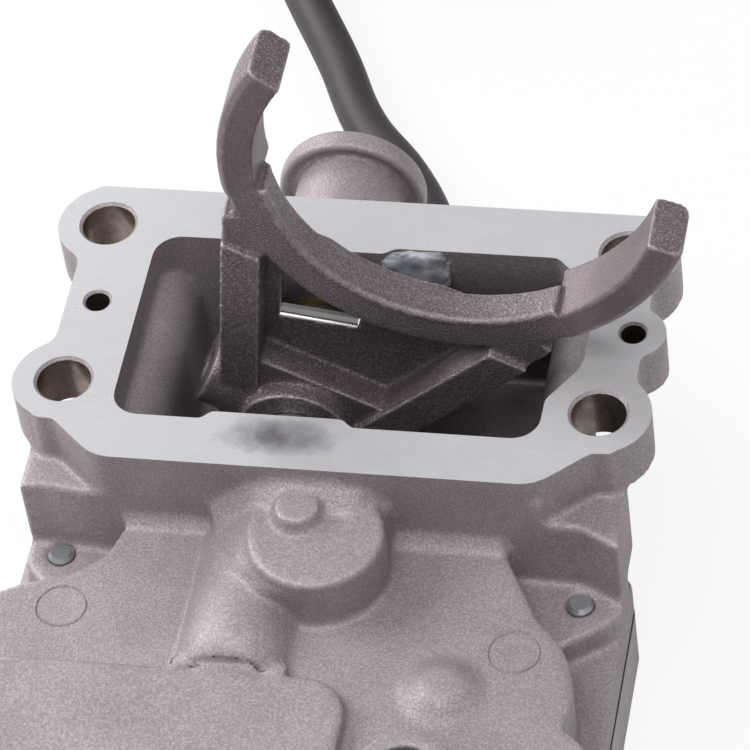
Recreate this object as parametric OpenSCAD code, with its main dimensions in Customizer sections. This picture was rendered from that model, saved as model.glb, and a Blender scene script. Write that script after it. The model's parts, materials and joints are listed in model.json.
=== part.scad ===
/* [Mounting flange] */
// Bolt spacing along the long side of the flange
bolt_dx = 108; // [106:0.5:112]
// Bolt spacing across the flange
bolt_dy = 43; // [41:0.5:45]
// Radius of the four bolt holes
bolt_r = 5.5; // [4.5:0.1:6]
// Thickness of the flange at its bolt bosses
flange_t = 12; // [10:0.5:14]
// Radius of the boss round each bolt hole
boss_r = 10.5; // [10:0.1:11]
// Radius of the two dowel holes
dowel_r = 2.5; // [2:0.1:3]
// Depth of the dowel holes
dowel_depth = 9; // [6:0.5:9]

/* [Fork cavity] */
// Width of the cavity at the flange face
cavity_w = 86; // [84:0.5:87]
// Front wall of the cavity, measured from the bolt centre
cavity_front = 29.5; // [28:0.5:31]
// Back wall of the cavity, measured from the bolt centre
cavity_back = 19; // [17:0.5:20]
// Depth of the cavity floor below the flange face
cavity_depth = 38; // [37:0.5:39]

/* [Fork shaft] */
// Shaft axis, sideways from the bolt centre
shaft_x = -11.5; // [-12:0.5:-11]
// Shaft axis, below the flange face
shaft_drop = 24; // [23.5:0.5:25]
// Radius of the shaft where it carries the fork
shaft_r = 7; // [6.5:0.1:7.5]
// Radius of the shaft's front journal
journal_r = 4.5; // [4:0.1:4.6]
// Back end of the shaft
shaft_back = 48; // [44:1:49]
// How far the shaft shifts to the front
shift_stroke = 10; // [8:0.5:10]
// Running clearance of the shaft in its bushes
run_fit = 0.04; // [0.02:0.01:0.08]

/* [Shift fork] */
// Distance from the shaft axis to the sleeve axis
fork_reach = 80.5; // [77:0.5:84]
// Radius of the rough inner rim
throat_r = 37.5; // [36:0.5:39]
// Radial height of the rim
rim_h = 8; // [7:0.5:9]
// Thickness of the rough rim along the shaft
fork_t = 8; // [7:0.5:9]
// Thickness of the milled pads on the two arms
pad_t = 13.5; // [11:0.5:14]
// Front face of the fork, measured from the bolt centre
fork_front = 8; // [7:0.5:9]
// Radius of the hub
hub_r = 11.8; // [11:0.1:12]
// How far the fork leans to the right, resting in the housing
fork_lean = 28.5; // [26:0.5:28.5]
// Angle from the fork's axis to each arm's end
arm_end = 81; // [76:1:86]

/* [Gear train] */
// Face width of the pinion that drives the rack
pinion_t = 12; // [10:0.5:12]
// Worm wheel axle, sideways from the bolt centre
wheel_x = 30.5; // [30:0.5:31]
// Gear axle, in front of the bolt centre
gear_y = -51; // [-52:0.5:-50.5]
// Radius of the two fixed gear axles
axle_r = 3; // [2.5:0.1:3.2]

/* [Motor] */
// Radius of the motor can
can_r = 17.5; // [16.5:0.5:17.5]
// Length of the motor can
can_l = 58; // [54:1:60]
// Radius of the rotor shaft
rotor_r = 2.5; // [2:0.1:2.8]

/* [Housing] */
// Height of the bottom face below the flange face
foot_drop = 58; // [58:0.5:60]
// Parting plane below the flange face
part_drop = 43; // [42.5:0.1:43.5]
// Floor of the bottom cover
cover_t = 3; // [2.5:0.1:3.2]
// Thickness of the gasket
gasket_t = 0.8; // [0.6:0.1:1.2]
// Radius of the cover screws
screw_r = 2.7; // [2.5:0.1:3]

/* [Lead] */
// Diameter of the sheathed lead
lead_d = 10; // [9:0.5:10]

/* [Hidden] */
$fn = 64;
e = 0.01;
gap = 0.3;

shaft_z = -shaft_drop;
part_z = -part_drop;
foot_z = -foot_drop;
cover_top = part_z - gasket_t;
cover_floor = foot_z + cover_t;
ear_z = -29;
pocket_left = -36;
pocket_right = 39;
bulge_r = 10;
bulge_z = -18;
body_left = -40;
body_right = 45;
body_z = -19;
block_z = -15.5;
plateau_z = -7;
base_z = -35;
half_dx = bolt_dx / 2;
face_front = 41;
face_back = bolt_dy / 2 + boss_r;
head_space_r = boss_r + 0.4;

// Gears: module, teeth and the worm's pitch radius
tooth_m = 1;
rack_pinion_n = 12;
gear_n = 60;
wheel_pinion_n = 17;
wheel_n = 36;
worm_r = 6;

rack_add = 0.6;
rack_line = 8.6;
pinion_pr = tooth_m * rack_pinion_n / 2;
gear_pr = tooth_m * gear_n / 2;
wheel_pinion_pr = tooth_m * wheel_pinion_n / 2;
wheel_pr = tooth_m * wheel_n / 2;
gear_x = shaft_x + rack_line + pinion_pr;
centre_d = gear_pr + wheel_pinion_pr;
wheel_y = round(1000 * (gear_y - sqrt(centre_d * centre_d - pow(wheel_x - gear_x, 2)))) / 1000;
worm_y = wheel_y - wheel_pr - worm_r;
worm_z = -37;
mesh_a = atan2(wheel_y - gear_y, wheel_x - gear_x);
wheel_pinion_a = mesh_a + 180 + gear_n / wheel_pinion_n * mesh_a - 180 / wheel_pinion_n;
pitch = PI * tooth_m;
gear_z = -50.5;
gear_t = 4;
pinion_z = shaft_z - pinion_t / 2;
pinion_top = pinion_z + pinion_t;
wheel_z = worm_z - 4.5;
wheel_t = 9;
worm_slack = 0.2;
board_t = 1.6;

slider_back = gear_y + shift_stroke + 4;
slider_front = gear_y - 7;
slider_r = 9.8;
spring_bore = 6.6;
lip = 3;
washer_t = 1;
ring_t = 1;
journal_back = slider_back + 2;
journal_front = slider_front - 5;
tube_r = 12.2;
chamber_front = journal_front - shift_stroke - 1.5;
tube_front = chamber_front - 3;
chamber_back = slider_back + 0.5;
seal_front = -cavity_front - 1.5;
seal_r = shaft_r + 4;
bush_r = shaft_r + 2;
lip_r = journal_r + 0.9;
rear_tube_r = 11.8;
collar_r = 15.8;
collar_front = 55;
collar_back = 61;

fork_back = -fork_front + fork_t;
hub_front = -fork_front - 4;
hub_back = 13;
lug_y = -3;
lug_x = 21;
pin_r = 2.5;
rim_r = throat_r + rim_h;
pad_a = 124;
pad_in = throat_r + 1.5;
pad_out = rim_r + 0.7;
leg_a = 21;
leg_off = 16;
leg_w = 8;
ledge_z = 42.2;
ledge_proud = 1.5;

can_back = -58;
can_front = can_back + can_l;
can_wall = 1.5;
magnet_t = 2.5;
core_l = can_l - 32;
plate_t = 7;
worm_start = wheel_x - 11;
worm_end = wheel_x + 11;
bush_end = worm_end + 4;

grommet_x = 6;
grommet_y = 38;
grommet_z = -51;
grommet_r = 6.3;
lead_r = lead_d / 2;
coil_r = 50;
lead_path = [
    [6, 27, -51], [6, 46, -51], [5, 60, -52], [0, 76, -53], [-8, 90, -53], [-20, 105, -53],
    [-30, 125, -53], [-41, 145, -53], [-51, 164, -53], [-61.7, 183.8, -53]
];
coil_at = [-18, 208, -53];
tail_path = [
    [-18, 258, -43], [2, 258, -45], [22, 258, -49], [42, 258, -53], [66, 258, -53]
];
plug_at = [58, 258, -53];

screws_at = [
    [-half_dx - 0.2, -43, ear_z + 0.8], [half_dx - 2, -46.5, ear_z + 0.8], [-35, face_back - 5, -26],
    [35, face_back - 5, -26], [-63, -123.5, -26], [53.5, -123.5, -26]
];
bolts_at = [for (x = [-1, 1], y = [-1, 1]) [x * half_dx, y * bolt_dy / 2]];
dowels_at = [[2.3 - half_dx, 0], [half_dx + 3.9, 0]];

// Half the angle of an involute tooth at radius r, for n teeth
function inv_a(r, rb) = r <= rb ? 0 : sqrt(pow(r / rb, 2) - 1) * 180 / PI - atan(sqrt(pow(r / rb, 2) - 1));
function tooth_a(n, r, slack) = 90 / n - slack + inv_a(tooth_m * n / 2, base_r(n)) - inv_a(r, base_r(n));
function base_r(n) = tooth_m * n / 2 * cos(20);

// Outline of a spur gear whose first tooth points along +X
module gear_2d(n, add = 0.8, ded = 1.2, slack_mm = 0.08) {
    pr = tooth_m * n / 2;
    root = pr - ded * tooth_m;
    tip = pr + add * tooth_m;
    low = max(root, base_r(n));
    radii = concat([root], [for (k = [0:3]) low + (tip - low) * k / 3]);
    slack = slack_mm / pr * 180 / PI;
    polygon([
        for (i = [0:n - 1], side = [-1, 1], k = [0:4])
            let (r = radii[side < 0 ? k : 4 - k], a = 360 * i / n + side * tooth_a(n, r, slack))
                r * [cos(a), sin(a)]
    ]);
}

// Ring in the XY plane, from z0 up
module ring(ro, ri, z0, h) {
    translate([0, 0, z0]) difference() {
        cylinder(r = ro, h = h);
        translate([0, 0, -e]) cylinder(r = ri, h = h + 2 * e);
    }
}

// Lays a shape that stands on +Z along +Y on the fork shaft's axis
module on_shaft() {
    translate([shaft_x, 0, shaft_z]) rotate([-90, 0, 0]) children();
}

// Lays a shape that stands on +Z along +X on the motor's axis
module on_motor() {
    translate([0, worm_y, worm_z]) rotate([90, 0, 90]) children();
}

module at_gear() { translate([gear_x, gear_y, 0]) children(); }
module at_wheel() { translate([wheel_x, wheel_y, 0]) children(); }
module layer(z0, z1) { translate([0, 0, z0]) linear_extrude(z1 - z0) children(); }

module round_box(x0, y0, x1, y1, r) {
    translate([x0 + r, y0]) square([x1 - x0 - 2 * r, y1 - y0]);
    translate([x0, y0 + r]) square([x1 - x0, y1 - y0 - 2 * r]);
    for (x = [x0 + r, x1 - r], y = [y0 + r, y1 - r]) translate([x, y]) circle(r);
}

// Fills the corner between a boss and the straight side it stands on
module side_blend(side, line, row, rho) {
    cx = line + rho;
    dy = sqrt(pow(boss_r + rho - 0.03, 2) - pow(cx - half_dx, 2));
    cy = row * (bolt_dy / 2 - dy);
    scale([side, 1]) difference() {
        polygon([[line - 2, cy], [cx, cy], [half_dx, row * bolt_dy / 2]]);
        translate([cx, cy]) circle(rho);
    }
}

module flange_2d() {
    side = half_dx + 4;
    corner_r = 9;
    nose = half_dx - 13.5;
    translate([-side, -face_back]) square([2 * side, 2 * face_back]);
    polygon([
        [-half_dx, -face_back], [-nose - 6.4, 2.6 - face_front], [-nose, -face_front],
        [nose, -face_front], [nose + 6.4, 2.6 - face_front], [half_dx, -face_back]
    ]);
    for (x = [-nose, nose]) translate([x, corner_r - face_front]) circle(corner_r);
    for (p = bolts_at) translate(p) circle(boss_r);
    translate(dowels_at[1]) circle(6.6);
    translate([side - 1, -12]) square([3.2, 24]);
    for (row = [-1, 1]) {
        side_blend(-1, side, row, 4);
        side_blend(1, side + 2.2, row, 3);
    }
}

module cavity_2d() {
    half = cavity_w / 2;
    difference() {
        round_box(-half, -cavity_front, half, cavity_back, 5.5);
        translate([shaft_x, 0]) {
            polygon([[-13.5, -cavity_front - 1], [-11, 2 - cavity_front], [15.5, 2 - cavity_front],
                [18.5, -cavity_front - 1]]);
            polygon([[-18.5, cavity_back + 1], [-14.5, cavity_back - 1.6], [15.9, cavity_back - 1.6],
                [19.4, cavity_back + 1]]);
        }
    }
    polygon([[40, -19], [half, -19], [48.2, -11], [49.2, -8], [49.2, 8], [48.2, 11], [half + 1, 15],
        [40, cavity_back], [36, cavity_back]]);
}

// Room of the cavity seen from the front: its two ends swell inwards below the flange, over the bolt heads
module pocket() {
    reach = 60;
    beyond = 20;
    rotate([90, 0, 0]) linear_extrude(2 * reach, center = true) difference() {
        translate([-reach, -reach]) square([2 * reach, reach + 1]);
        for (end = [[-1, pocket_left], [1, pocket_right]]) translate([end[1] + end[0] * bulge_r, bulge_z]) {
            circle(bulge_r);
            translate([-bulge_r, -reach]) square([2 * bulge_r, reach]);
            translate([end[0] > 0 ? 0 : -beyond, -reach]) square([beyond, reach]);
        }
    }
}

// Plan of the raised front body
module body_2d() {
    round_box(-66, -127, 60.6, -84, 9);
    at_wheel() circle(25);
    translate([-39, -62]) square([77, 24]);
    polygon([[-39, -41], [-42, -50], [-48, -55.5], [-57, -58.5], [-62, -61.5], [-66, -68], [-66, -100],
        [40, -100], [40, -60]]);
}

// Plan of the ears that take the two middle screws
module ear_2d() {
    translate([-half_dx, 0]) polygon([[-7, -38], [-7, -46], [-2, -51.5], [8, -60], [16, -60], [16, -38]]);
    translate([half_dx, 0]) polygon([[6.4, -38], [6.4, -48], [3.5, -51.5], [-4, -57], [-12, -62],
        [-18, -60], [-18, -38]]);
}

// Plan of the parting flange and the cover
module base_2d() {
    round_box(-70, -131, 60.6, -55, 9);
    round_box(-63, -66, 60.6, -33.5, 3);
    translate([-42.5, -40]) square([42.5 + body_right, 64]);
    round_box(-42.5, 10, body_right, face_back + 1, 6);
}

// Plan of the shoulder in front of the two front bolts
module shoulder_2d() {
    polygon([
        [-half_dx - 7, -29], [-half_dx - 7, -40], [-half_dx - 2, -39.5], [-44, -face_front],
        [44, -face_front], [half_dx - 1.6, -41.3], [half_dx + 3.9, -44.3], [half_dx + 6.4, -45.4],
        [half_dx + 6.4, -29]
    ]);
}

// Plan of the gear and motor chamber
module chamber_2d() {
    at_wheel() circle(21);
    at_gear() circle(13.5);
    motor_room_2d(0);
    translate([shaft_x - 12.5, -83]) square([54, 47]);
}

// Plan of the motor's room, widened all round by a margin
module motor_room_2d(margin) {
    round_box(can_back - 3.5 - margin, worm_y - can_r - 1.5 - margin,
        bush_end + 10.5 + margin, worm_y + can_r - 1 + margin, 3);
}

// Round space for the motor's can and end plate
module motor_seat() {
    on_motor() translate([0, 0, can_back - 2.5]) cylinder(r = can_r + gap, h = can_l + plate_t + 3.5);
}

module housing_solid() {
    layer(-flange_t, 0) flange_2d();
    translate([body_left, -face_front, part_z])
        cube([body_right - body_left, face_front + face_back - 5, part_drop - flange_t / 2]);
    layer(ear_z, -flange_t) shoulder_2d();
    layer(base_z, ear_z) intersection() {
        ear_2d();
        translate([-70, -70]) square([140, 36]);
    }
    layer(part_z, base_z) base_2d();
    layer(part_z, body_z) body_2d();
    layer(body_z - e, block_z) round_box(-62, -123.5, 13.3, -79.2, 9);
    at_gear() translate([-1, 0, body_z - e]) cylinder(r = 13.5, h = plateau_z - body_z);
    translate([-2.2, -46.6, plateau_z - e]) cylinder(r1 = 5.3, r2 = 4.3, h = 3);
    on_shaft() translate([0, 0, tube_front]) cylinder(r = tube_r, h = -tube_front - 35);
    on_shaft() translate([0, 0, 15]) cylinder(r = rear_tube_r, h = collar_back - 17);
    on_shaft() rear_collar();
    translate([30.5, wheel_y, body_z - e]) cylinder(r1 = 8, r2 = 7, h = 3.2);
    translate([27.2, -101, body_z - e]) cylinder(r = 10, h = 4.5);
    for (p = screws_at) translate([p[0], p[1], part_z])
        cylinder(r = 6, h = p[2] < -28 ? ear_z - part_z : 20);
}

// Collar at the closed end of the rear tube, with a groove round the tube and rounded rims
module rear_collar() {
    rotate_extrude() polygon([
        [0, collar_front + 1.5], [rear_tube_r + 1.4, collar_front + 1.5],
        [collar_r - 1.8, collar_front + 0.4], [collar_r - 0.7, collar_front],
        [collar_r, collar_front + 0.7], [collar_r, collar_back - 2],
        [collar_r - 0.6, collar_back - 0.6], [collar_r - 2, collar_back], [0, collar_back]
    ]);
}

module main_housing() {
    color("silver") difference() {
        housing_solid();
        // fork cavity: wide at the face and narrow below, to clear the bolt heads
        intersection() {
            layer(-cavity_depth, e) cavity_2d();
            pocket();
        }
        for (p = bolts_at) translate([p[0], p[1], 0]) {
            translate([0, 0, -flange_t - 1]) cylinder(r = bolt_r, h = flange_t + 2);
            translate([0, 0, part_z - 1]) cylinder(r = head_space_r, h = part_drop - flange_t + 1);
        }
        for (p = dowels_at) translate([p[0], p[1], -dowel_depth]) {
            cylinder(r = dowel_r, h = dowel_depth + 1);
            translate([0, 0, dowel_depth - 0.5]) cylinder(r1 = dowel_r, r2 = dowel_r + 0.51, h = 0.51);
        }
        // shaft bores, with the slider's run in front and the closed end behind
        on_shaft() {
            translate([0, 0, chamber_front]) cylinder(r = slider_r + 0.4, h = chamber_back - chamber_front);
            translate([0, 0, chamber_back - 1]) cylinder(r = bush_r, h = seal_front - chamber_back + 1);
            translate([0, 0, seal_front - e]) cylinder(r = seal_r, h = 6);
            translate([0, 0, cavity_back - 4]) cylinder(r = bush_r, h = 18);
            translate([0, 0, cavity_back + 13]) cylinder(r = shaft_r + 1, h = shaft_back - cavity_back - 9);
            translate([0, 0, collar_back - 2]) cylinder(r = rear_tube_r - 0.8, h = 5);
        }
        // gear chamber, its pocket round the rack pinion, and the motor's seat
        layer(part_z - 1, -31) chamber_2d();
        at_gear() translate([0, 0, part_z]) cylinder(r = pinion_pr + 3.5, h = pinion_top + 3 - part_z);
        translate([shaft_x, gear_y - 12, shaft_z - 10]) cube([gear_x - shaft_x, 24, 17]);
        motor_seat();
        on_motor() translate([0, 0, can_front]) cylinder(r = 8, h = bush_end - can_front);
        at_gear() translate([0, 0, pinion_top]) cylinder(r = axle_r, h = 8);
        at_wheel() translate([0, 0, base_z]) cylinder(r = axle_r, h = 13);
        // breather seat and screw holes
        translate([27.2, -101, body_z + 1.5]) cylinder(r = 6.2, h = 5);
        translate([27.2, -101, -35]) cylinder(r = 1.5, h = 18);
        for (p = screws_at) translate([p[0], p[1], part_z - 1])
            cylinder(r = screw_r, h = p[2] - part_z + 2);
    }
}

module bottom_cover() {
    color("silver") difference() {
        union() {
            layer(foot_z, cover_top) base_2d();
            translate([grommet_x - 9, 30, foot_z]) cube([18, grommet_y - 30, cover_top - foot_z]);
        }
        layer(cover_floor, cover_top + 1) {
            at_wheel() circle(21);
            at_gear() circle(gear_pr + 2.5);
            motor_room_2d(0);
            translate([grommet_x - 4.5, -24]) square([9, 54]);
        }
        motor_seat();
        translate([grommet_x, 24, grommet_z]) rotate([-90, 0, 0]) cylinder(r = grommet_r, h = 20);
        for (p = bolts_at) translate([p[0], p[1], foot_z - 1]) cylinder(r = head_space_r, h = foot_drop);
        for (p = screws_at) translate([p[0], p[1], foot_z - 1]) {
            cylinder(r = screw_r + 0.3, h = 30);
            cylinder(r = screw_r + 2.6, h = 5.5);
        }
        at_gear() translate([0, 0, cover_floor - 2]) cylinder(r = axle_r, h = 5);
        at_wheel() translate([0, 0, cover_floor - 2]) cylinder(r = axle_r, h = 5);
    }
}

module cover_gasket() {
    color("dimgray") layer(cover_top, part_z) difference() {
        base_2d();
        at_wheel() circle(22);
        at_gear() circle(gear_pr + 3);
        motor_room_2d(0.5);
        for (p = bolts_at) translate(p) circle(head_space_r);
        for (p = screws_at) translate([p[0], p[1]]) circle(screw_r + 0.3);
    }
}

module cover_screws() {
    color("lightgray") for (p = screws_at) translate([p[0], p[1], 0]) {
        translate([0, 0, foot_z + 4.5 - e]) cylinder(r = screw_r, h = p[2] - foot_z - 5.3 + e);
        translate([0, 0, p[2] - 0.8 - e]) cylinder(r1 = screw_r, r2 = screw_r - 0.7, h = 0.8);
        difference() {
            translate([0, 0, foot_z + 0.5]) cylinder(r = screw_r + 2.3, h = 4);
            translate([0, 0, foot_z]) cylinder(r = 2.9, h = 3, $fn = 6);
        }
    }
}

module breather_cap() {
    color("dimgray") translate([27.2, -101, body_z + 1.5]) difference() {
        cylinder(r = 6.2, h = 2.4);
        for (k = [0:11]) rotate(30 * k) translate([3, -0.6, 1.2]) cube([2.6, 1.2, 2]);
    }
}

module front_bush() {
    color("peru") on_shaft() ring(bush_r, shaft_r + run_fit, chamber_back + 0.2,
        seal_front - chamber_back - 0.5);
}

module rear_bush() {
    color("peru") on_shaft() ring(bush_r, shaft_r + run_fit, cavity_back - 0.5, 12);
}

module shaft_seal() {
    color("black") on_shaft() ring(seal_r, shaft_r + 0.02, seal_front, 3.4);
}

module fork_shaft() {
    color("lightgray") difference() {
        on_shaft() {
            translate([0, 0, journal_back]) cylinder(r = shaft_r, h = shaft_back - journal_back - 1);
            translate([0, 0, shaft_back - 1 - e]) cylinder(r1 = shaft_r, r2 = shaft_r - 1, h = 1);
            translate([0, 0, journal_front]) cylinder(r = journal_r, h = journal_back - journal_front + e);
        }
        pin_bore();
    }
}

// Cross hole of the fork's pin, through the hub and the shaft
module pin_bore() {
    fork_frame() translate([-14, lug_y, 0]) rotate([0, 90, 0]) cylinder(r = pin_r, h = 28);
}

// Places a shape drawn in the fork's own plane, its axis upright, on the leaning fork
module fork_frame() {
    translate([shaft_x, 0, shaft_z]) rotate([0, fork_lean, 0]) children();
}

module fork_slab(y_back, t) {
    translate([0, y_back, 0]) rotate([90, 0, 0]) linear_extrude(t) children();
}

// Two sectors of a turned ring about the sleeve axis, between two angles from the fork's axis;
// the profile gives radius and place along the shaft
module fork_ring(profile, a0, a1) {
    reach = 80;
    translate([0, 0, fork_reach]) rotate([-90, 0, 0]) intersection() {
        rotate_extrude($fn = 128) polygon(profile);
        for (s = [-1, 1]) translate([0, 0, -30]) linear_extrude(60) polygon(concat([[0, 0]],
            [for (k = [0:6]) let (a = a0 + (a1 - a0) * k / 6) reach * [s * sin(a), -cos(a)]]));
    }
}

// Section of a ring from radius ri to ro, front to back, with a corner cut off each edge
function ring_section(ri, ro, front, back, inner, outer) = [
    [ri, front + inner], [ri + 0.8 * inner, front], [ro - outer, front], [ro, front + outer],
    [ro, back - 1.6 * outer], [ro - 0.5 * outer, back - 0.5 * outer], [ro - 1.6 * outer, back],
    [ri + 0.6, back], [ri, back - 0.6]
];

// One leg from the hub to the rim: s picks the side
module fork_leg_2d(s) {
    base = leg_off * [s * cos(leg_a), -sin(leg_a)];
    along = [s * sin(leg_a), cos(leg_a)];
    inward = [-s * cos(leg_a), sin(leg_a)];
    difference() {
        polygon([base, base + 58 * along, base + 58 * along + leg_w * inward, base + leg_w * inward]);
        translate([0, fork_reach]) circle(pad_in + 0.5, $fn = 128);
    }
}

// Wall between the legs, open below the rim
module fork_web_2d() {
    difference() {
        polygon([[-14, -2], [-30, 44], [30, 44], [14, -2]]);
        translate([0, fork_reach]) circle(throat_r + 1, $fn = 128);
        polygon([[-14.5, 27], [-19, 41], [19, 41], [14, 31]]);
    }
}

module shift_fork() {
    color("dimgray") fork_frame() difference() {
        union() {
            fork_ring(ring_section(throat_r, rim_r, -fork_front, fork_back, 1.6, 1), pad_a, 180);
            fork_ring(ring_section(pad_in, pad_out, -fork_front, pad_t - fork_front, 0.5, 1.2),
                arm_end, pad_a + 1.5);
            for (s = [-1, 1]) {
                fork_slab(fork_back, fork_t) fork_leg_2d(s);
                fork_slab(0, fork_front + ledge_proud) intersection() {
                    fork_leg_2d(s);
                    translate([-50, -20]) square([100, ledge_z + 20]);
                }
            }
            fork_slab(2, 3.5) fork_web_2d();
            fork_slab(fork_back, fork_t) polygon([[-13, 0], [-13.5, 13], [13.5, 13], [13, 0]]);
            rotate([-90, 0, 0]) translate([0, 0, hub_front]) cylinder(r = hub_r, h = hub_back - hub_front);
            translate([0, lug_y, 0]) rotate([0, -90, 0]) cylinder(r = 7.5, h = lug_x);
        }
        rotate([-90, 0, 0]) translate([0, 0, hub_front - 1])
            cylinder(r = shaft_r + 0.01, h = hub_back - hub_front + 2);
        translate([-lug_x - 1, lug_y, 0]) rotate([0, 90, 0]) cylinder(r = 3.2, h = 9);
        translate([-14, lug_y, 0]) rotate([0, 90, 0]) cylinder(r = pin_r, h = 27);
    }
}

module fork_pin() {
    color("lightgray") fork_frame() translate([-13, lug_y, 0]) rotate([0, 90, 0]) difference() {
        cylinder(r = pin_r, h = 24);
        translate([0, 0, -1]) cylinder(r = pin_r - 1.1, h = 26);
    }
}

module rack_slider() {
    color("slategray") on_shaft() difference() {
        translate([0, 0, slider_front]) cylinder(r = slider_r, h = slider_back - slider_front);
        translate([0, 0, slider_front - 1]) cylinder(r = lip_r, h = slider_back - slider_front + 2);
        translate([0, 0, slider_front + lip])
            cylinder(r = spring_bore, h = slider_back - slider_front - 2 * lip);
        translate([rack_line + rack_add, -slider_r, slider_front - 1])
            cube([slider_r, 2 * slider_r, slider_back - slider_front + 2]);
        // rack teeth: gaps centred on the pinion's own pitch
        for (k = [-2:4]) translate([rack_line, 0, gear_y + k * pitch]) rack_gap();
    }
}

// One gap of the rack, cut from its tips to 1.2 modules below the pitch line
module rack_gap() {
    half = pitch / 4 + 0.08;
    flank = tan(20);
    rotate([90, 0, 0]) translate([0, 0, -slider_r]) linear_extrude(2 * slider_r) polygon([
        [2, -half - 2 * flank], [2, half + 2 * flank],
        [-1.2 * tooth_m, half - 1.2 * flank], [-1.2 * tooth_m, -half + 1.2 * flank]
    ]);
}

// Closed tube of the given radius along a list of points, with a flat end at each end
function unit(v) = v / norm(v);
function way(p, i) = unit(p[min(i + 1, len(p) - 1)] - p[max(i - 1, 0)]);
function ring_at(p, i, r, n, ref) =
    let (t = way(p, i), u = unit(cross(t, ref)), v = cross(t, u))
        [for (k = [0:n - 1]) p[i] + r * (cos(360 * k / n) * u + sin(360 * k / n) * v)];
module swept(p, r, n, ref) {
    last = len(p) - 1;
    polyhedron(
        [for (i = [0:last]) each ring_at(p, i, r, n, ref)],
        concat([[for (k = [0:n - 1]) k]], [[for (k = [n - 1:-1:0]) last * n + k]],
            [for (i = [0:last - 1], k = [0:n - 1])
                [i * n + k, (i + 1) * n + k, (i + 1) * n + (k + 1) % n, i * n + (k + 1) % n]]));
}

module wait_spring() {
    wire = 0.7;
    z0 = slider_front + lip + washer_t + wire + 0.05;
    z1 = slider_back - lip - washer_t - wire - 0.05;
    mid = spring_bore - 0.3 - wire;
    color("gray") on_shaft() swept(
        [for (k = [0:60]) [mid * cos(30 * k), mid * sin(30 * k), z0 + (z1 - z0) * k / 60]],
        wire, 6, [0, 0, 1]);
}

module spring_washers() {
    color("lightgray") on_shaft() {
        ring(spring_bore - 0.2, journal_r + 0.05, slider_front + lip, washer_t);
        ring(spring_bore - 0.2, journal_r + 0.05, slider_back - lip - washer_t, washer_t);
    }
}

module shaft_snap_rings() {
    color("gray") on_shaft() {
        ring(lip_r - 0.3, journal_r, slider_front + lip - ring_t, ring_t);
        ring(lip_r - 0.3, journal_r, slider_back - lip, ring_t);
    }
}

module gear_axle() {
    color("lightgray") at_gear() translate([0, 0, cover_floor - 2])
        cylinder(r = axle_r, h = pinion_top + 10 - cover_floor);
}

module rack_pinion() {
    color("gray") at_gear() difference() {
        union() {
            translate([0, 0, pinion_z]) linear_extrude(pinion_t) rotate(180) gear_2d(rack_pinion_n);
            translate([0, 0, gear_z + gear_t]) cylinder(r = 5.2, h = pinion_z - gear_z - gear_t + e);
        }
        translate([0, 0, gear_z]) cylinder(r = axle_r + run_fit, h = 40);
    }
}

module drive_gear() {
    color("white") at_gear() difference() {
        translate([0, 0, gear_z]) linear_extrude(gear_t) difference() {
            gear_2d(gear_n);
            for (k = [0:5]) rotate(60 * k + 30) translate([17, 0]) circle(5.5);
        }
        translate([0, 0, gear_z - 1]) cylinder(r = axle_r + run_fit, h = 10);
        translate([0, 0, gear_z - e]) ring(26.5, 24, 0, 0.6);
    }
}

module contact_disc() {
    color("orange") at_gear() ring(26.5, 24, gear_z, 0.6 - e);
}

module wheel_axle() {
    color("lightgray") at_wheel() translate([0, 0, cover_floor - 2])
        cylinder(r = axle_r, h = base_z + 15 - cover_floor);
}

module worm_wheel() {
    color("white") at_wheel() difference() {
        translate([0, 0, worm_z]) linear_extrude(wheel_t, center = true, slices = 1,
            twist = -wheel_t * tooth_m / (2 * worm_r) / wheel_pr * 180 / PI)
            rotate(-90) gear_2d(wheel_n, slack_mm = worm_slack);
        translate([0, 0, wheel_z - 1]) cylinder(r = axle_r + run_fit, h = wheel_t + 2);
        ring(14.5, 6, wheel_z + wheel_t - 2.5, 3);
    }
}

module wheel_pinion() {
    color("gray") at_wheel() difference() {
        union() {
            translate([0, 0, gear_z - 0.3]) linear_extrude(gear_t + 0.6)
                rotate(wheel_pinion_a) gear_2d(wheel_pinion_n);
            translate([0, 0, gear_z + gear_t]) cylinder(r = 6.5, h = wheel_z - gear_z - gear_t);
        }
        translate([0, 0, gear_z - 1]) cylinder(r = axle_r + run_fit, h = 20);
    }
}

// Single-start worm: across its axis the thread is one lobe, and a gap faces the wheel's centre line
module worm() {
    rin = worm_r - 1.3;
    rout = worm_r + 0.8;
    half_in = (pitch / 4 - worm_slack + 1.3 * tan(20)) * 360 / pitch;
    half_out = (pitch / 4 - worm_slack - 0.8 * tan(20)) * 360 / pitch;
    lobe = concat(
        [for (k = [0:3]) [rout, half_out * (k / 1.5 - 1)]],
        [for (k = [1:3]) [rout + (rin - rout) * k / 3, half_out + (half_in - half_out) * k / 3]],
        [for (k = [1:3]) [rin, half_in + (360 - 2 * half_in) * k / 4]],
        [for (k = [0:2]) [rin + (rout - rin) * k / 3, 360 - half_in + (half_in - half_out) * k / 3]]);
    length = worm_end - worm_start;
    color("gray") on_motor() difference() {
        translate([0, 0, worm_start]) rotate(360 * (worm_start - wheel_x) / pitch - 180)
            linear_extrude(length, twist = -360 * length / pitch,
                    slices = round(12 * length / pitch), $fn = 4)
                polygon([for (q = lobe) q[0] * [cos(q[1]), sin(q[1])]]);
        translate([0, 0, worm_start - 1]) cylinder(r = rotor_r, h = length + 2);
    }
}

module worm_end_bush() {
    color("peru") on_motor() ring(8, rotor_r + run_fit, worm_end + 0.3, bush_end - worm_end - 0.3);
}

module motor_can() {
    color("gray") on_motor() difference() {
        translate([0, 0, can_back]) cylinder(r = can_r, h = can_l);
        translate([0, 0, can_back + 2]) cylinder(r = can_r - can_wall, h = can_l);
        translate([0, 0, can_back - 1]) cylinder(r = 5, h = 5);
    }
}

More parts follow.
